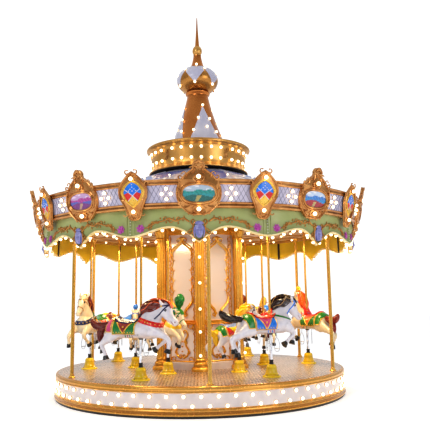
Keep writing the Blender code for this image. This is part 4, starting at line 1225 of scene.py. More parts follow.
def valance_shell():
    """The scallop itself: green outside, yellow inside painted bright with the lamps' glow, a cream roll along
    its edge, and its ends at the seams in painted shade.
    """
    steps, columns = 56, []
    for step in range(steps + 1):
        angle = -19.99 + 39.98 * step / steps
        edge = valance_edge(angle)
        half_way = (VALANCE_TOP + edge) / 2
        levels = [(0.0, VALANCE_TOP), (0.0, half_way)]
        levels += below(edge, [(0, -24), (6, -22), (10, -13), (8, -4), (0, 0), (-30, 0), (-38, -10), (-36, -24),
                               (-30, -26)])
        levels += [(-VALANCE_WALL, half_way), (-VALANCE_WALL, VALANCE_TOP)]
        columns.append([ring_point(angle, valance_radius(angle, height) + proud, height)
                for proud, height in levels])
    # The end faces of each scallop, at the seams, take the painted seam shade.
    return swept(columns, ((0, (0, 1, 2)), (1, (3, 4, 5, 6)), (4, (7, 8, 9)), (2, (10, 11)), (2, (12,))), 3)


def flower(x, y, size):
    """Two rows of petals round a bud."""
    parts = []
    for count, reach_out, petal, lift in ((7, 0.62, 0.4, 0.004), (5, 0.32, 0.32, 0.012)):
        for number in range(count):
            turn = tau * number / count + lift * 60
            place = at((x + size * reach_out * cos(turn), y + size * reach_out * sin(turn), lift), turn)
            parts.append(lump(place @ Matrix.Rotation(-0.35, 4, "Y"),
                    (size * petal, size * petal * 0.72, size * 0.14)))
    parts.append(placed(globe(size * 0.2, 5, 8), at((x, y, 0.018))))
    return parts


def vine_parts():
    """One vine from the mask to the flower beside the seam, with its tendrils."""
    parts = [rail([(115, 2262), (190, 2300), (270, 2272), (350, 2302), (430, 2276), (510, 2262), (575, 2222),
                   (640, 2196)], 10, 10, 6, lambda share: 1.1 - 0.4 * share, 7)]
    for x, y, heading, length, bend, last in ((150, 2285, 70, 85, -900, -4200), (215, 2294, -50, 90, 900, 4200),
            (265, 2275, 70, 95, 700, 4000), (330, 2296, 60, 80, -900, -4300), (345, 2298, -50, 85, -800, -4100),
            (415, 2282, 60, 90, 800, 4100), (470, 2270, -70, 80, 900, 4200), (520, 2258, 50, 85, -800, -4200),
            (590, 2214, -40, 60, -900, -4200), (600, 2212, 80, 70, 900, 4300)):
        parts += scroll(x, y, heading, length, bend, last, 8.5, 9, 6)
    for x, y, angle in ((0.18, 2.306, 100), (0.242, 2.262, -80), (0.3, 2.292, 95), (0.385, 2.272, -75),
                        (0.455, 2.292, 80), (0.55, 2.248, 60), (0.56, 2.215, -60)):
        leaf = at((x, y, 0.006), radians(angle)) @ Matrix.Translation((0.014, 0, 0))
        parts.append(lump(leaf, (0.018, 0.008, 0.007)))
    return parts


# Height, place and half widths of the lids, eye sockets, brow, lips and chin
MASK_MOUNDS = ((0.005, -0.36, 0.13, 0.12, 0.055), (0.005, 0.36, 0.13, 0.12, 0.055),
        (-0.008, -0.36, 0.14, 0.17, 0.11), (-0.008, 0.36, 0.14, 0.17, 0.11), (0.005, 0, 0.32, 0.62, 0.07),
        (0.005, 0, -0.46, 0.24, 0.055), (0.005, 0, -0.78, 0.26, 0.14))


def mask_parts():
    """A plain mask of even proportions in a scrolled frame, with a shell over it."""
    columns, rows, half, tall, middle = 22, 26, 0.052, 0.078, 2.15
    outer, inner = [], []
    for row in range(rows + 1):
        v = -1 + 2 * row / rows
        width = sqrt(max(0.0, 1 - v * v)) ** 0.8 * (0.82 + 0.18 * (1 + v) / 2)
        for column in range(columns + 1):
            u = (-1 + 2 * column / columns) * width
            dome = 0.03 * sqrt(max(0.0, 1 - u * u * 0.8 - v * v * 0.8))
            nose = 0.014 * exp(-(u / 0.13) ** 2 - ((v + 0.1) / 0.26) ** 2) * (1 if v < 0.35 else 0.6)
            relief = sum(height * exp(-((u - x) / wide) ** 2 - ((v - y) / high) ** 2)
                         for height, x, y, wide, high in MASK_MOUNDS)
            outer.append((u * half, middle + v * tall, 0.01 + dome + nose + relief))
            inner.append((u * half, middle + v * tall, 0.0))
    face = grid_sheet(outer, inner, columns + 1)
    hair_parts = []
    for number in range(5):
        lock = [(0.012 + 0.009 * number, 0.08 - 0.01 * number, 0.02),
                (0.04 + 0.006 * number, 0.066 - 0.016 * number, 0.018),
                (0.06 - 0.001 * number, 0.03 - 0.02 * number, 0.014),
                (0.06 - 0.004 * number, -0.01 - 0.02 * number, 0.012)]
        hair_parts += both([strand([(x, middle + up, lift) for x, up, lift in lock], 0.008, 0.009, UP,
                tapered)])
    for number in range(7):
        turn = radians(-60 + 20 * number)
        tip = (0.06 * sin(turn), middle + 0.07 + 0.05 * cos(turn), 0.012)
        hair_parts.append(strand([(0.0, middle + 0.07, 0.014), tip], 0.008, 0.008, UP,
                lambda share: 0.5 + 0.6 * share))
    gold = scrolls([(70, 2225, 20, 130, 600, 3600, 12, 12, 8), (66, 2220, -60, 150, -600, -1400, 11, 12, 8),
                    (78, 2145, -70, 110, 500, 3600, 11, 12, 8), (75, 2180, 10, 90, -900, -3900, 9, 10, 8)])
    gold += both([rail([(0, 2042), (45, 2065), (68, 2110), (74, 2170), (68, 2225), (40, 2262)], 8, 10, 10,
            steps=5)])
    return [face] + hair_parts, gold


def seam_parts():
    """A pale double strip over each seam with a row of beads between."""
    low, high = VALANCE_SEAM + 0.012, VALANCE_TOP - 0.006
    strips = [bar(x0, low, x1, high, 0.01, 0.001)
              for x0, x1 in ((-0.052, -0.044), (0.044, 0.052), (-0.014, -0.008), (0.008, 0.014))]
    return strips, [placed(globe(0.0085, 5, 8), at((0, low + 0.03 + number * 0.036, 0.009)))
            for number in range(8)]


def turned_to(shape, angle):
    return placed(shape, Matrix.Rotation(radians(angle), 4, "Z"))


shell, vine = valance_shell(), [on_valance(part) for part in both(vine_parts())]
flowers = [on_valance(part) for part in both(flower(0.7, 2.196, 0.053))]
mask_face, mask_gold = ([on_valance(part) for part in parts] for parts in mask_parts())
strips, seam_beads = seam_parts()
everywhere = [VALANCE_STEP * number for number in range(VALANCE_COUNT)]
for number, angle in enumerate(everywhere):
    make_piece(f"scallop_{number + 1}", [(turned_to(part, angle), finish) for part, finish in shell],
               [sage, cream_edge, glow_painted_yellow, seam_gap_shade, cream_edge], [f"valance_{number + 1}"])
for name, parts, finish, slot in (("vines", vine + mask_gold, vine_gold, "gold_paint"),
                                  ("flowers", flowers, flower_paint, "crown_panel"),
                                  ("masks", mask_face, mask_paint, "crown_panel")):
    make_piece("valance_" + name, [(turned_to(part, angle), 0) for angle in everywhere for part in parts],
            [finish])
# Painted shade: a dark strip inside each seam, where the gap between two scallops lies in shadow.
seam_shade_strip = []
for height in np.linspace(VALANCE_SEAM + 0.004, CEILING - 0.002, 6):
    wall = valance_radius(20, height) - VALANCE_WALL
    for x, proud in ((-0.02, 0.001), (0.02, 0.001), (0.02, -0.012), (-0.02, -0.012)):
        seam_shade_strip.append(ring_point(20 + degrees(x / wall), wall + proud, height))
seam_shade_strip = shaped(seam_shade_strip, joined_rings(6, 4))
strips, seam_beads = ([on_valance(part, VALANCE_STEP / 2) for part in parts] for parts in (strips, seam_beads))
make_piece("valance_seams", [(turned_to(part, angle), finish) for angle in everywhere
                             for parts, finish in ((strips, 0), (seam_beads, 1)) for part in parts]
           + [(turned_to(seam_shade_strip, angle), 2) for angle in everywhere], [sage, seam_white, seam_gap_shade])
edge_places = []
for angle in everywhere:
    for turn in [side * share for side in (-1, 1) for share in EDGE_LAMP_ANGLES]:
        place = ring_point(angle + turn, valance_radius(turn, valance_edge(turn)) - 0.014, valance_edge(turn))
        edge_places.append((place, Vector((0, 0, -1))))
lamp_piece("valance_lamps", edge_places, 0.0195)


# Crown boards
# Five rounding boards ring the top. Each has a lilac field with a painted lattice between two gilded rails,
# and clusters of four lamps beside every oval.

BOARD_BOTTOM, BOARD_TOP = 2.415, 2.75
BOARD_MIDDLE = (BOARD_BOTTOM + BOARD_TOP) / 2
BOARD_BOTTOM_RADIUS, BOARD_TOP_RADIUS = 2.41, 2.485
BOARD_LEAN = atan2(BOARD_TOP_RADIUS - BOARD_BOTTOM_RADIUS, BOARD_TOP - BOARD_BOTTOM)
PLAQUE_SWELL = 0.015
CLUSTER_ANGLE = 8.8

copper_gold = painted("copper_gold", (0.46, 0.19, 0.055), (0.72, 0.37, 0.13), roughness=0.22, metallic=0.72,
                      patch=7.0, hollow_shade=(0.09, 0.025, 0.01))
lilac_field = painted("lilac_field", (0.48, 0.46, 0.62), (0.6, 0.56, 0.7), roughness=0.3, coat=0.3, patch=3.0)
lattice_paint = painted("lattice_grey", (0.1, 0.1, 0.17), (0.2, 0.19, 0.28), roughness=0.4, patch=9.0)
board_back = painted("board_back", (0.3, 0.16, 0.06), (0.4, 0.23, 0.1), roughness=0.6, patch=3.0)


def board_radius(angle, height):
    """Outer face of the boards, swelling a little at each shield. The angle is from an oval."""
    share = (height - BOARD_BOTTOM) / (BOARD_TOP - BOARD_BOTTOM)
    plain = BOARD_BOTTOM_RADIUS + share * (BOARD_TOP_RADIUS - BOARD_BOTTOM_RADIUS)
    return plain + PLAQUE_SWELL * (1 - cos(radians(angle) * 10)) / 2


def on_boards(shape, middle):
    return laid(shape, middle, BOARD_TOP_RADIUS, board_radius)


def board_shell(first, last):
    """Lower rail, field and upper rail in one moulding, from one seam to the next."""
    steps, low = 72, BOARD_BOTTOM + 0.0004
    section = below(BOARD_TOP, [(-30, 0), (4, 0), (16, 6), (19, 14), (16, 22), (10, 27), (9, 44), (13, 52),
            (12, 60), (4, 66), (0, 68)])
    field = len(section) - 1
    section += below(low, [(0, -70), (6, -67), (14, -60), (13, -50), (8, -44), (10, -28), (18, -22), (19, -12),
            (14, -4), (6, 0), (-30, 0)])
    columns = []
    for step in range(steps + 1):
        angle = first + (last - first) * step / steps
        columns.append([ring_point(angle, board_radius(angle, height) + proud, height)
                for proud, height in section])
    rails = [row for row in range(len(section) - 1) if row != field]
    return swept(columns, ((0, rails), (1, [field]), (2, [len(section) - 1])), 2)


for number in range(5):
    make_piece(f"rounding_board_{number + 1}", board_shell(-18 + 72 * number + 0.006, 54 + 72 * number - 0.006),
               [copper_gold, lilac_field, board_back], [f"crown_board_{number + 1}"])

FIELD_LOW, FIELD_HIGH = BOARD_BOTTOM + 0.07, BOARD_TOP - 0.068
LATTICE_PITCH = 0.058
lattice = []
for middle in [36 * oval + side * 10.3 for oval in range(10) for side in (-1, 1)]:
    for number in range(-5, 6):
        for slope in (-1, 1):
            centre, half = number * LATTICE_PITCH, slope * (FIELD_HIGH - FIELD_LOW) * 0.3
            if abs(centre) + abs(half) < 0.185:
                rod = strand([(centre - half, FIELD_LOW, 0.0005), (centre, BOARD_MIDDLE, 0.0005),
                              (centre + half, FIELD_HIGH, 0.0005)], 0.0028, 0.0022, UP, sides=4)
                lattice.append((on_boards(rod, middle), 0))
make_piece("board_lattice", lattice, [lattice_paint])
cluster_places = []
for oval in range(10):
    for side in (-1, 1):
        for x, up in ((0, 0.06), (0, -0.06), (-0.054, 0), (0.054, 0)):
            angle = 36 * oval + side * CLUSTER_ANGLE + degrees(x / BOARD_TOP_RADIUS)
            height = BOARD_MIDDLE + up
            cluster_places.append(lamp_place(angle, board_radius(angle, height), height, -tan(BOARD_LEAN)))
lamp_piece("cluster_lamps", cluster_places, 0.021)


# Ovals
# Ten oval cartouches hold small painted landscapes, each in a leafy cast frame with a crest over it.

OVAL_HALF = metres([(0, -254), (60, -252), (115, -238), (175, -192), (232, -128), (264, -40), (264, 50),
        (240, 128), (246, 168), (205, 176), (165, 222), (105, 268), (70, 300), (76, 338), (48, 378), (0, 394)])
PAINTING_HALF, PAINTING_TALL = 0.186, 0.098
PLAQUE_FRONT = 0.022


def on_board(angle):
    """Frame on the middle of the boards: X along, Y up their lean, Z out of them."""
    lean, upright = sin(BOARD_LEAN), cos(BOARD_LEAN)
    stand = Matrix(((1, 0, 0, 0), (0, -lean, -upright, -board_radius(angle, BOARD_MIDDLE)),
                    (0, upright, -lean, BOARD_MIDDLE), (0, 0, 0, 1)))
    return Matrix.Rotation(radians(angle), 4, "Z") @ stand


def outline_of(half, steps=4):
    """A closed smooth outline from the right half of it, bottom to top."""
    right = through(half, steps)
    left = right[1:-1][::-1] * np.array([-1.0, 1.0])
    return np.vstack([right, left])


def inset(outline, amount):
    """The outline moved inward."""
    before, after = np.roll(outline, 1, 0), np.roll(outline, -1, 0)
    along = after - before
    along /= np.linalg.norm(along, axis=1)[:, None]
    return outline + np.column_stack([-along[:, 1], along[:, 0]]) * amount


def plaque(outline, front, back, ease=0.008):
    """A flat plaque with a rounded front edge."""
    levels = [(0.0, back), (0.0, front - ease), (ease * 0.3, front - ease * 0.3), (ease, front)]
    vertices = [(x, y, level) for amount, level in levels for x, y in inset(outline, amount)]
    return shaped(vertices, joined_rings(len(levels), len(outline)))


def rounded_ring(outline, width, height, level, sides=6):
    """A rounded moulding along a closed outline."""
    return strand([(x, y, level) for x, y in outline], width, height, UP, sides=sides, closed=True)


def beading(outline, radius, spacing, level):
    """Beads along a closed outline."""
    points = np.vstack([outline, outline[:1]])
    spans = np.linalg.norm(np.diff(points, axis=0), axis=1)
    travelled = np.concatenate([[0], np.cumsum(spans)])
    count = int(travelled[-1] / spacing)
    places = np.linspace(0, travelled[-1], count, endpoint=False)
    bead = globe(radius, 3, 6)
    return [placed(bead, at((np.interp(place, travelled, points[:, 0]),
            np.interp(place, travelled, points[:, 1]), level))) for place in places]


def fan(count, spread, pivot, arm, lift, sizes, downward=False):
    """Leaves fanned up or down about a pivot. Arm is how far their middles stand out across and along."""
    leaves = []
    for number in range(count):
        turn = radians(spread * (number - (count - 1) / 2))
        along = -arm[1] if downward else arm[1]
        place = (arm[0] * sin(turn), pivot + along * cos(turn), lift)
        leaves.append(lump(at(place, pi + turn if downward else -turn), sizes))
    return leaves


def ellipse(half, tall, steps=44, power=0.82):
    """A rounded oval, a little squarer than an ellipse."""
    turns = np.linspace(0, tau, steps, endpoint=False)
    x, y = np.cos(turns), np.sin(turns)
    return np.column_stack([np.sign(x) * np.abs(x) ** power * half, np.sign(y) * np.abs(y) ** power * tall])


def oval_frame():
    outline, front = outline_of(OVAL_HALF), PLAQUE_FRONT
    parts = [plaque(outline, front, -0.01), rounded_ring(inset(outline, 0.01), 0.01, 0.013, front),
             rounded_ring(ellipse(0.2, 0.112), 0.013, 0.018, front + 0.006),
             rounded_ring(ellipse(0.224, 0.136), 0.01, 0.012, front + 0.003)]
    parts += beading(ellipse(0.212, 0.124, 72), 0.0068, 0.02, front + 0.012)
    parts += beading(inset(outline, 0.026), 0.0062, 0.025, front + 0.003)
    parts += scrolls([(*row, 12, 27) for row in ((20, 150, 150, 100, -900, -3300, 12),
            (30, 140, 20, 150, 500, 2900, 13), (195, 160, -20, 110, 900, 3600, 13),
            (240, 100, -80, 140, -300, -2600, 12), (244, -50, -110, 130, -300, -2600, 12),
            (175, -150, 200, 120, -200, -2600, 12), (20, -145, 10, 120, -700, -3100, 12),
            (75, -220, 160, 90, -900, -3600, 11), (75, 235, 140, 120, -300, -2600, 12),
            (60, 270, 80, 110, 600, 3300, 12), (12, 300, 60, 120, -700, -3300, 12),
            (150, 190, 120, 110, -500, -2900, 11))])
    level = front + 0.005
    parts += fan(7, 25, 0.35, (0.03, 0.028), level + 0.004, (0.011, 0.022, 0.012))
    parts += fan(9, 20, -0.19, (0.06, 0.042), level, (0.008, 0.02, 0.01), True)
    for x, y, tall in ((0.06, -0.246, 0.02), (0.12, -0.232, 0.018), (0.256, 0.0, 0.018), (0.236, -0.12, 0.018)):
        parts += both([lump(at((x, y, level)), (0.012, tall, 0.014))])
    return parts


def painting_colour(u, v, scheme):
    """A hazy landscape of hills, water and clouds; u and v run from -1 to 1."""
    sky, far, near, water, glint, path = scheme
    wave = 0.1 * sin(3.1 * u + 0.7) + 0.06 * sin(7.7 * u + 2.0)
    tone = np.array(sky)
    if sin(5.0 * u + 3.0 * v) * sin(9.0 * v + 2.0 * u) > 0.45:
        tone = np.array(glint)
    if v < 0.34 + wave:
        tone = np.array(far) * (0.75 + 0.5 * (0.5 + 0.5 * sin(23 * u + 11 * v)))
    if v < -0.02 - wave * 0.8:
        tone = np.array(water) * (0.8 + 0.4 * (sin(31 * v + 4 * sin(5 * u)) > 0.3))
    if v < -0.34 + 0.22 * cos(2.4 * u + 0.5) * (1 if u < 0.6 else 0.6):
        tone = np.array(near) * (0.75 + 0.5 * (sin(37 * u) * sin(29 * v) > 0.1))
    if abs(u - 0.1 - 0.25 * v) < 0.2 + 0.12 * v and v < -0.3:
        tone = np.array(path)
    return tone


TEAL = ((0.4, 0.5, 0.62), (0.01, 0.26, 0.24), (0.006, 0.13, 0.12), (0.02, 0.3, 0.34), (0.75, 0.78, 0.85),
        (0.4, 0.34, 0.12))
PLUM = ((0.55, 0.35, 0.62), (0.42, 0.05, 0.3), (0.2, 0.03, 0.22), (0.1, 0.12, 0.5), (0.85, 0.7, 0.88),
        (0.5, 0.3, 0.22))
AZURE = ((0.55, 0.66, 0.85), (0.06, 0.22, 0.62), (0.42, 0.03, 0.04), (0.04, 0.3, 0.66), (0.9, 0.9, 0.92),
        (0.55, 0.42, 0.18))
SCHEMES = (TEAL, AZURE, AZURE, PLUM, TEAL, AZURE, TEAL, PLUM, AZURE, PLUM)


def painting_material():
    """Oil paint under varnish, its colours stored on the mesh."""
    material = painted("oval_painting", (0.5, 0.5, 0.5), (0.6, 0.6, 0.6), roughness=0.22, coat=0.6, grain=120.0,
            relief=0.12)
    stored = material.node_tree.nodes.new("ShaderNodeVertexColor")
    stored.layer_name = "painting"
    shader = material.node_tree.nodes["Principled BSDF"]
    material.node_tree.links.new(stored.outputs["Color"], shader.inputs["Base Color"])
    return material


def board_lamps(first, level, heights):
    """Lamps on every oval or shield, one at each height over its middle."""
    frames = [on_board(first + 36 * number) for number in range(10)]
    return [(frame_of @ Vector((0, up, level)), frame_of.to_3x3() @ Vector((0, 0, 1)))
            for frame_of in frames for up in heights]


frame_parts = oval_frame()
make_piece("oval_frames", [(placed(part, on_board(36 * oval)), 0) for oval in range(10)
        for part in frame_parts], [copper_gold])
columns, rows = 38, 20
paint_shapes = []
for oval in range(10):
    grid = []
    for row in range(rows + 1):
        v = -1 + 2 * row / rows
        width = max(0.02, 1 - abs(v) ** 2.6) ** (1 / 2.6)
        grid += [((-1 + 2 * column / columns) * width * PAINTING_HALF, v * PAINTING_TALL, PLAQUE_FRONT + 0.004)
                 for column in range(columns + 1)]
    back = [(x, y, PLAQUE_FRONT - 0.004) for x, y, _ in grid]
    paint_shapes.append((placed(grid_sheet(grid, back, columns + 1), on_board(36 * oval)), 0))
paintings = make_piece("oval_paintings", paint_shapes, [painting_material()])
stored = paintings.data.color_attributes.new("painting", "FLOAT_COLOR", "POINT")
boards = [(on_board(36 * oval).inverted(), SCHEMES[oval]) for oval in range(10)]
colours = []
for vertex in paintings.data.vertices:
    oval = round(degrees(atan2(vertex.co.x, -vertex.co.y)) / 36) % 10
    back_to_board, scheme = boards[oval]
    local = back_to_board @ vertex.co
    colours += [*painting_colour(local.x / PAINTING_HALF, local.y / PAINTING_TALL, scheme), 1.0]
stored.data.foreach_set("color", colours)
lamp_piece("oval_lamps", board_lamps(0, PLAQUE_FRONT + 0.004, (0.197, -0.18)), 0.0265)


# Shields
# Between the ovals hang ten shields with enamelled fields: blue over red over gold, crossed by white laths.

SHIELD_HALF = metres([(0, -296), (45, -290), (78, -262), (98, -195), (122, -130), (165, -40), (183, 50),
        (160, 135), (102, 205), (40, 262), (0, 288)])
FIELD_HALF = metres([(0, -120), (40, -85), (85, -30), (112, 30), (104, 70), (60, 125), (0, 160)])
SHIELD_BACK, SHIELD_FRONT = 0.0175, 0.04


def shield_parts():
    outline, field = outline_of(SHIELD_HALF), outline_of(FIELD_HALF)
    gold = [plaque(outline, SHIELD_FRONT, SHIELD_BACK),
            rounded_ring(inset(outline, 0.01), 0.01, 0.014, SHIELD_FRONT)]
    gold += beading(inset(outline, 0.024), 0.0058, 0.018, SHIELD_FRONT + 0.002)
    gold += scrolls([(*row, 12, 44) for row in ((20, 250, -20, 120, 500, 3000, 12),
            (8, 240, 70, 90, -900, -3900, 11), (160, 100, 110, 100, -500, -2900, 11),
            (168, -10, -100, 120, -400, -2900, 11), (100, -180, 230, 100, 500, 3100, 11),
            (20, -270, 20, 90, 900, 3900, 11))])
    level = SHIELD_FRONT + 0.004
    gold += fan(7, 25, -0.238, (0.052, 0.036), level, (0.009, 0.022, 0.011), True)
    gold += fan(7, 25, 0.238, (0.034, 0.024), level, (0.008, 0.016, 0.01))
    backing = outline_of([(x * 1.36, y * 1.2 - 0.005) for x, y in FIELD_HALF])
    inner_gold = [plaque(backing, level, SHIELD_FRONT - 0.004),
                  rounded_ring(inset(field, -0.006), 0.006, 0.008, SHIELD_FRONT + 0.006)]
    blue = [plaque(field, SHIELD_FRONT + 0.0065, SHIELD_FRONT, 0.002)]
    lift = SHIELD_FRONT + 0.008

    def patch(points):
        """A thin enamelled inlay."""
        rows = metres(points)
        return shaped([(x, y, z) for z in (lift - 0.004, lift) for x, y in rows], joined_rings(2, len(rows)))

    red = both([patch([(4, 0), (56, 40), (108, 18), (86, -30), (62, -60)])])
    yellow = [patch([(0, -4), (58, -64), (36, -92), (0, -118), (-36, -92), (-58, -64)])]
    laths = both([strand([(-0.066, -0.066, lift), (0.0, 0.0, lift), (0.098, 0.078, lift)], 0.0042, 0.004, UP)])
    dots = [placed(globe(0.0075, 5, 8), at((x, y, lift - 0.001))) for x, y in metres(
        [(0, 100), (-26, 78), (26, 78), (0, 56), (-45, 58), (45, 58), (0, 130)])]
    groups = (gold, 0), (inner_gold, 1), (blue, 2), (red, 3), (yellow, 1), (laths + dots, 4)
    return [(part, finish) for parts, finish in groups for part in parts]


shield = shield_parts()
make_piece("shields", [(placed(part, on_board(18 + 36 * number)), finish) for number in range(10)
        for part, finish in shield], [copper_gold, GOLD, BLUE, RED, WHITE])
lamp_piece("shield_lamps", board_lamps(18, SHIELD_FRONT + 0.003, (0.2, -0.188)), 0.0245)


# Roof
# A shallow cone of lacquered sheet closes the crown, lilac and white with blue wedges, and a ring of small
# lamps.

ROOF_SLOPE = 0.38
ROOF_LAMP_RINGS = ((1.95, 24), (1.3, 20))
ROOF_SHEET = 0.03

roof_low, roof_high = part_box("roof_cone")
ROOF_RADIUS = 2.33
ROOF_THROAT = 0.62
roof_lilac = painted("roof_lilac", (0.5, 0.49, 0.64), (0.68, 0.66, 0.75), roughness=0.3, coat=0.3, patch=1.6)
roof_blue = painted("roof_blue", (0.03, 0.1, 0.5), (0.1, 0.2, 0.62), roughness=0.3, coat=0.3, patch=2.0)


def roof_height(radius):
    return roof_high.z - ROOF_SLOPE * (radius - ROOF_THROAT)


eave = roof_height(ROOF_RADIUS)
roof_profile = [(radius, roof_height(radius)) for radius in (ROOF_THROAT, 1.0, 1.5, ROOF_RADIUS)]
roof_profile += [(ROOF_RADIUS, roof_low.z), (ROOF_RADIUS - ROOF_SHEET, roof_low.z),
                 (ROOF_RADIUS - ROOF_SHEET, eave - 0.02), (ROOF_THROAT - ROOF_SHEET, roof_high.z - 0.02),
                 (ROOF_THROAT - ROOF_SHEET, roof_high.z)]
wedges, battens = [], []
for number in range(10):
    middle = 8 + 36 * number
    top = [ring_point(middle + turn, 0.9, roof_height(0.9) + 0.003) for turn in np.linspace(-15, 15, 9)]
    lobe = 1.35 + 0.28 * np.cos(np.linspace(-pi / 2, pi / 2, 9))
    low = [ring_point(middle + turn, radius, roof_height(radius) + 0.003)
           for turn, radius in zip(np.linspace(-10, 10, 9), lobe)]
    under = [Vector((*point.xy, point.z - 0.004)) for point in top + low]
    faces = [(column, column + 1, 10 + column, 9 + column) for column in range(8)]
    faces += [(18 + face[3], 18 + face[2], 18 + face[1], 18 + face[0]) for face in faces]
    rim = list(range(9)) + list(range(17, 8, -1))
    faces += [(here, there, 18 + there, 18 + here) for here, there in zip(rim, rim[1:] + rim[:1])]
    wedges.append((shaped(top + low + under, faces), 1))
    seam = [ring_point(middle + 18, radius, roof_height(radius) + 0.002) for radius in (0.7, 1.3, 1.9, 2.31)]
    battens.append((strand(seam, 0.01, 0.008, UP), 0))
make_piece("roof_sheet", [(turned(roof_profile, 144, True), 0)] + wedges + battens, [roof_lilac, roof_blue],
        ["roof_cone"])
lamp_piece("roof_lamps", [lamp_place(360 * number / count, radius, roof_height(radius), 1 / ROOF_SLOPE)
                          for radius, count in ROOF_LAMP_RINGS for number in range(count)], 0.013)


# Lamp drum
# The drum under the tower is spun gold-lacquered steel with a flared foot, two rows of lamps and small gilt
# stars.

DRUM_ROWS = (3.616, 3.4545)
DRUM_LAMP_PITCH = 11.232
DRUM_GROUP = 6
DRUM_LEAN = -0.09
STAR_HEIGHT = 3.54

drum_low, drum_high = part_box("lamp_drum")
drum_gold = painted("drum_gold", (0.6, 0.3, 0.07), (0.78, 0.43, 0.13), roughness=0.34, metallic=0.8, patch=2.2)
drum_under = painted("drum_under", (0.012, 0.01, 0.01), (0.02, 0.018, 0.018), roughness=0.6)
DRUM_SIDE = below(drum_high.z, [(0, 0), (800, 0), (815, 3)])
DRUM_SIDE += metres([(826, 3728), (829, 3715), (824, 3702), (806, 3694), (800, 3684), (786, 3676), (770, 3668),
        (763, 3655), (757, 3600), (750, 3530), (743, 3460), (738, 3405), (742, 3392), (752, 3380), (766, 3362),
        (782, 3348), (790, 3340), (789, 3329)]) + [(0.782, drum_low.z)]
make_piece("drum_shell", [(turned(DRUM_SIDE, 120), 0),
        (turned([(0.782, drum_low.z), (0.0, drum_low.z)], 120), 1)], [drum_gold, drum_under],
        ["lamp_drum"])


def side_radius(side, height):
    """The radius of a turned side at a height. The side runs up."""
    return float(np.interp(height, [row[1] for row in side], [row[0] for row in side]))


def drum_radius(_angle, height):
    return side_radius(DRUM_SIDE[::-1], height)


group_turns = [-2.25 + 72 * number for number in range(5)]
drum_places = [lamp_place(start + DRUM_LAMP_PITCH * (index - 2.5), drum_radius(0, height), height, DRUM_LEAN)
               for start in group_turns for index in range(DRUM_GROUP) for height in DRUM_ROWS]
lamp_piece("drum_lamps", drum_places, 0.0235)
star_parts = scroll(6, 3590, 70, 70, -800, -3600, 7, 7, 4) + scroll(-6, 3490, 250, 70, -800, -3600, 7, 7, 4)
for number in range(8):
    turn = tau * number / 8
    tips = [(wide * cos(turn), STAR_HEIGHT + tall * sin(turn), lift)
            for wide, tall, lift in metres([(0, 0, 4), (30, 42, 6), (52, 76, 3)])]
    star_parts.append(strand(tips, 0.009, 0.006, UP, trailing))
make_piece("drum_stars", [(laid(part, start + 36, 0.75, drum_radius), 0) for start in group_turns
        for part in star_parts], [vine_gold])


# Tower
# The tower is a spun copper-gold cone with four tall lilac panels let into it, each edged with lamps.

TOWER_PANELS = 4
TOWER_TURN = 19.0
PANEL_HALF = 40.0

tower_low, tower_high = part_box("tower_cone")
tower_copper = painted("tower_copper", (0.52, 0.17, 0.04), (0.72, 0.29, 0.075), roughness=0.24, metallic=0.9,
                       patch=2.4)
TOWER_SIDE = [(0.45, tower_low.z), *metres([(446, 3752), (441, 3762), (410, 3862), (376, 3969), (349, 4042),
        (312, 4145), (277, 4255), (244, 4360), (214, 4467), (192, 4555), (178, 4620), (172, 4650), (178, 4672),
        (194, 4684)]), (0.2, tower_high.z)]


def tower_radius(height):
    return side_radius(TOWER_SIDE, height)


def inlay(rows, columns, low, high, half_at, radius_at, middle, deep):
    """A thin sheet let into a turned side, with its half width in degrees at each share of its height."""
    outer, inner = [], []
    for row in range(rows + 1):
        height = low + (high - low) * row / rows
        for column in range(columns + 1):
            angle = middle + half_at(row / rows) * (-1 + 2 * column / columns)
            outer.append(ring_point(angle, radius_at(height) + 0.004, height))
            inner.append(ring_point(angle, radius_at(height) - deep, height))
    return grid_sheet(outer, inner, columns + 1)


tower_profile = [(0.0, tower_high.z)] + TOWER_SIDE[::-1] + [(0.0, tower_low.z)]
tower_shapes = [(turned(tower_profile, 96), 0)]
PANEL_LOW, PANEL_HIGH = 3.748, 4.44


def panel_height(share):
    return PANEL_LOW + (PANEL_HIGH - PANEL_LOW) * share


def panel_half(share):
    return PANEL_HALF * (1 - share) * (0.441 / tower_radius(panel_height(share))) * (1 - 0.2 * share)


panel_places = []
for number in range(TOWER_PANELS):
    middle = TOWER_TURN + 90 * number
    tower_shapes.append((inlay(12, 16, PANEL_LOW, PANEL_HIGH, lambda share: panel_half(share) + 0.3,
            tower_radius, middle, 0.003), 1))
    spots = [(side * panel_half(share), panel_height(share)) for share in (0.05, 0.34, 0.66)
            for side in (-1, 1)]
    for turn, height in spots + [(0, PANEL_HIGH), (4, 4.05), (0, 3.772)]:
        panel_places.append(lamp_place(middle + turn, tower_radius(height) + 0.003, height, 0.3))
make_piece("tower_shell", tower_shapes, [tower_copper, roof_lilac], ["tower_cone"])
lamp_piece("tower_lamps", panel_places, 0.0205)


# Onion dome and finial
# A pressed onion dome sits over the tower, six lilac petals lying down its gold side, under a copper neck, a
# ball and a long turned spike.

PETALS = 6
PETAL_TURN = -8.0

onion_low, onion_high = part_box("onion_dome")
onion_middle = (onion_low.z + onion_high.z) / 2
ONION_RADIUS = 0.336
onion_side = [(ONION_RADIUS * cos(radians(slope)),
               onion_middle + (onion_high.z - onion_middle) * sin(radians(slope)) / sin(radians(70)))
              for slope in np.linspace(70, -70, 29)]


def onion_radius(height):
    rise = (height - onion_middle) / (onion_high.z - onion_middle) * sin(radians(70))
    return ONION_RADIUS * cos(asin(max(-0.94, min(0.94, rise))))


onion_gold = painted("onion_gold", (0.44, 0.19, 0.045), (0.62, 0.3, 0.075), roughness=0.24, metallic=0.8,
        patch=2.4)
onion_shapes = [(turned([(0.0, onion_high.z)] + onion_side + [(0.0, onion_low.z)], 96), 0)]
onion_places = []
PETAL_LOW, PETAL_HIGH = onion_middle - 0.125, onion_high.z - 0.004


def petal_half(share):
    return 0.4 + 29 * min(1.0, share / 0.62) ** 0.9


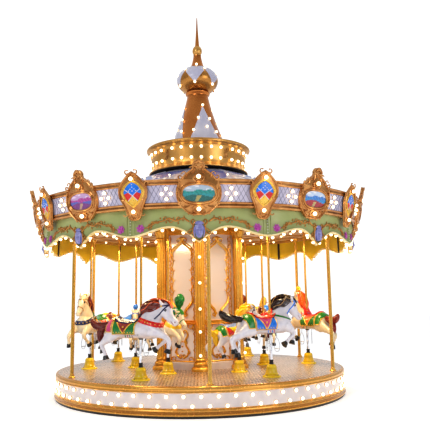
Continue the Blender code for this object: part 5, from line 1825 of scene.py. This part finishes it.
for number in range(PETALS):
    middle = PETAL_TURN + 60 * number
    onion_shapes.append((inlay(10, 12, PETAL_LOW, PETAL_HIGH, petal_half, onion_radius, middle, 0.004), 1))
    for turn, height, rise in ((0, PETAL_LOW, 0.1), (30, onion_middle + 0.1, 0.8)):
        onion_places.append(lamp_place(middle + turn, onion_radius(height) + 0.003, height, rise))
make_piece("onion_shell", onion_shapes, [onion_gold, roof_lilac], ["onion_dome"])

finial_low, finial_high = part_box("finial")
spike_profile = below(finial_high.z, [(0, 0), (4.5, 3), (7, 20)])
spike_profile += metres([(15, 5840), (24, 5700), (34, 5560), (40, 5532), (52, 5524), (66, 5505), (76, 5482),
        (80, 5452), (76, 5424), (66, 5404), (60, 5398), (64, 5390), (66, 5380), (62, 5372), (70, 5320),
        (84, 5255), (98, 5205), (109, 5176), (112, 5165)])
spike_profile += [(0.11, finial_low.z), (0.0, finial_low.z)]
copper_rows, ball_rows, neck_rows = spike_profile[:7], spike_profile[6:17], spike_profile[16:]
make_piece("spire", [(turned(copper_rows, 40), 0), (turned(ball_rows, 40), 1), (turned(neck_rows, 40), 0)],
           [tower_copper, drum_gold], ["finial"])
onion_places += [lamp_place(turn, 0.122, onion_high.z + 0.012, 0.9) for turn in (-6, 114, 234)]
lamp_piece("onion_lamps", onion_places, 0.0205)


# Studio
# A plain pale floor under soft light, seen from the place of the photograph.

EYE = Vector((0.0, -8.944, 1.34))
LENS_PIXELS = 567.78
FRAME_PIXELS = 430
SENSOR = 36.0
PITCH, YAW, ROLL = 0.150244, 0.0284273, -0.0157168

camera_data = bpy.data.cameras.new("camera")
camera_data.sensor_width = SENSOR
camera_data.lens = SENSOR * LENS_PIXELS / FRAME_PIXELS
camera = bpy.data.objects.new("camera", camera_data)
bpy.context.scene.collection.objects.link(camera)
camera.matrix_world = (Matrix.Translation(EYE) @ Matrix.Rotation(-YAW, 4, "Z")
                       @ Matrix.Rotation(pi / 2 + PITCH, 4, "X") @ Matrix.Rotation(ROLL, 4, "Z"))
bpy.context.scene.camera = camera

floor_paint = painted("studio_floor", (0.9, 0.9, 0.9), (0.94, 0.94, 0.94), roughness=0.9, patch=0.6)
preset(floor_paint.node_tree.nodes["Principled BSDF"], Emission_Color=(1, 1, 1, 1), Emission_Strength=0.35)
floor_shape = shaped([(-40, -40, 0), (40, -40, 0), (40, 40, 0), (-40, 40, 0)], [(0, 1, 2, 3)])
floor = make_piece("studio_floor", [(floor_shape, 0)], [floor_paint], body="base")
floor.parent = None


def softbox(name, place, target, size, power, colour=(1, 1, 1)):
    data = bpy.data.lights.new(name, "AREA")
    data.shape = "RECTANGLE"
    data.size, data.size_y = size
    data.energy = power
    data.color = colour
    light = bpy.data.objects.new(name, data)
    light.location = place
    light.rotation_euler = (Vector(target) - Vector(place)).to_track_quat("-Z", "Y").to_euler()
    light.visible_camera = False
    bpy.context.scene.collection.objects.link(light)


softbox("key", (-6, -9, 7), (0, 0, 2), (4, 4), 190)
softbox("fill", (7, -8, 4), (0, 0, 2), (4, 4), 130)
for number in range(6):
    place = ring_point(10 + 60 * number, 1.45, 2.24)
    softbox(f"warm_{number + 1}", place, (place.x, place.y, 0), (0.5, 0.5), 20, (1.0, 0.76, 0.42))

world = bpy.data.worlds.new("studio")
world.use_nodes = True
nodes, links = world.node_tree.nodes, world.node_tree.links
seen, lighting = nodes["Background"], nodes.new("ShaderNodeBackground")
preset(seen, Color=(1, 1, 1, 1), Strength=1.0)
preset(lighting, Color=(0.95, 0.97, 1.0, 1))
place, facing, rise = (nodes.new("ShaderNode" + kind) for kind in ("TexCoord", "VectorMath", "MapRange"))
facing.operation = "DOT_PRODUCT"
facing.inputs[1].default_value = (-0.1, 0.6, 0.79)
preset(rise, From_Min=-0.6, From_Max=0.9, To_Min=0.16, To_Max=0.7)
links.new(place.outputs["Generated"], facing.inputs[0])
links.new(facing.outputs["Value"], rise.inputs["Value"])
links.new(rise.outputs["Result"], lighting.inputs["Strength"])
rays, choice = nodes.new("ShaderNodeLightPath"), nodes.new("ShaderNodeMixShader")
links.new(rays.outputs["Is Camera Ray"], choice.inputs["Fac"])
links.new(lighting.outputs["Background"], choice.inputs[1])
links.new(seen.outputs["Background"], choice.inputs[2])
links.new(choice.outputs["Shader"], nodes["World Output"].inputs["Surface"])
bpy.context.scene.world = world
bpy.context.scene.view_settings.view_transform = "Standard"
bpy.context.scene.view_settings.look = "Medium High Contrast"

bpy.context.scene.use_nodes = True
nodes, links = bpy.context.scene.node_tree.nodes, bpy.context.scene.node_tree.links
nodes.clear()
picture, halo, result = (nodes.new("CompositorNode" + kind) for kind in ("RLayers", "Glare", "Composite"))
halo.glare_type, halo.quality = "FOG_GLOW", "HIGH"
preset(halo, Threshold=1.2, Strength=0.22, Size=0.3)
links.new(picture.outputs["Image"], halo.inputs["Image"])
links.new(halo.outputs["Image"], result.inputs["Image"])
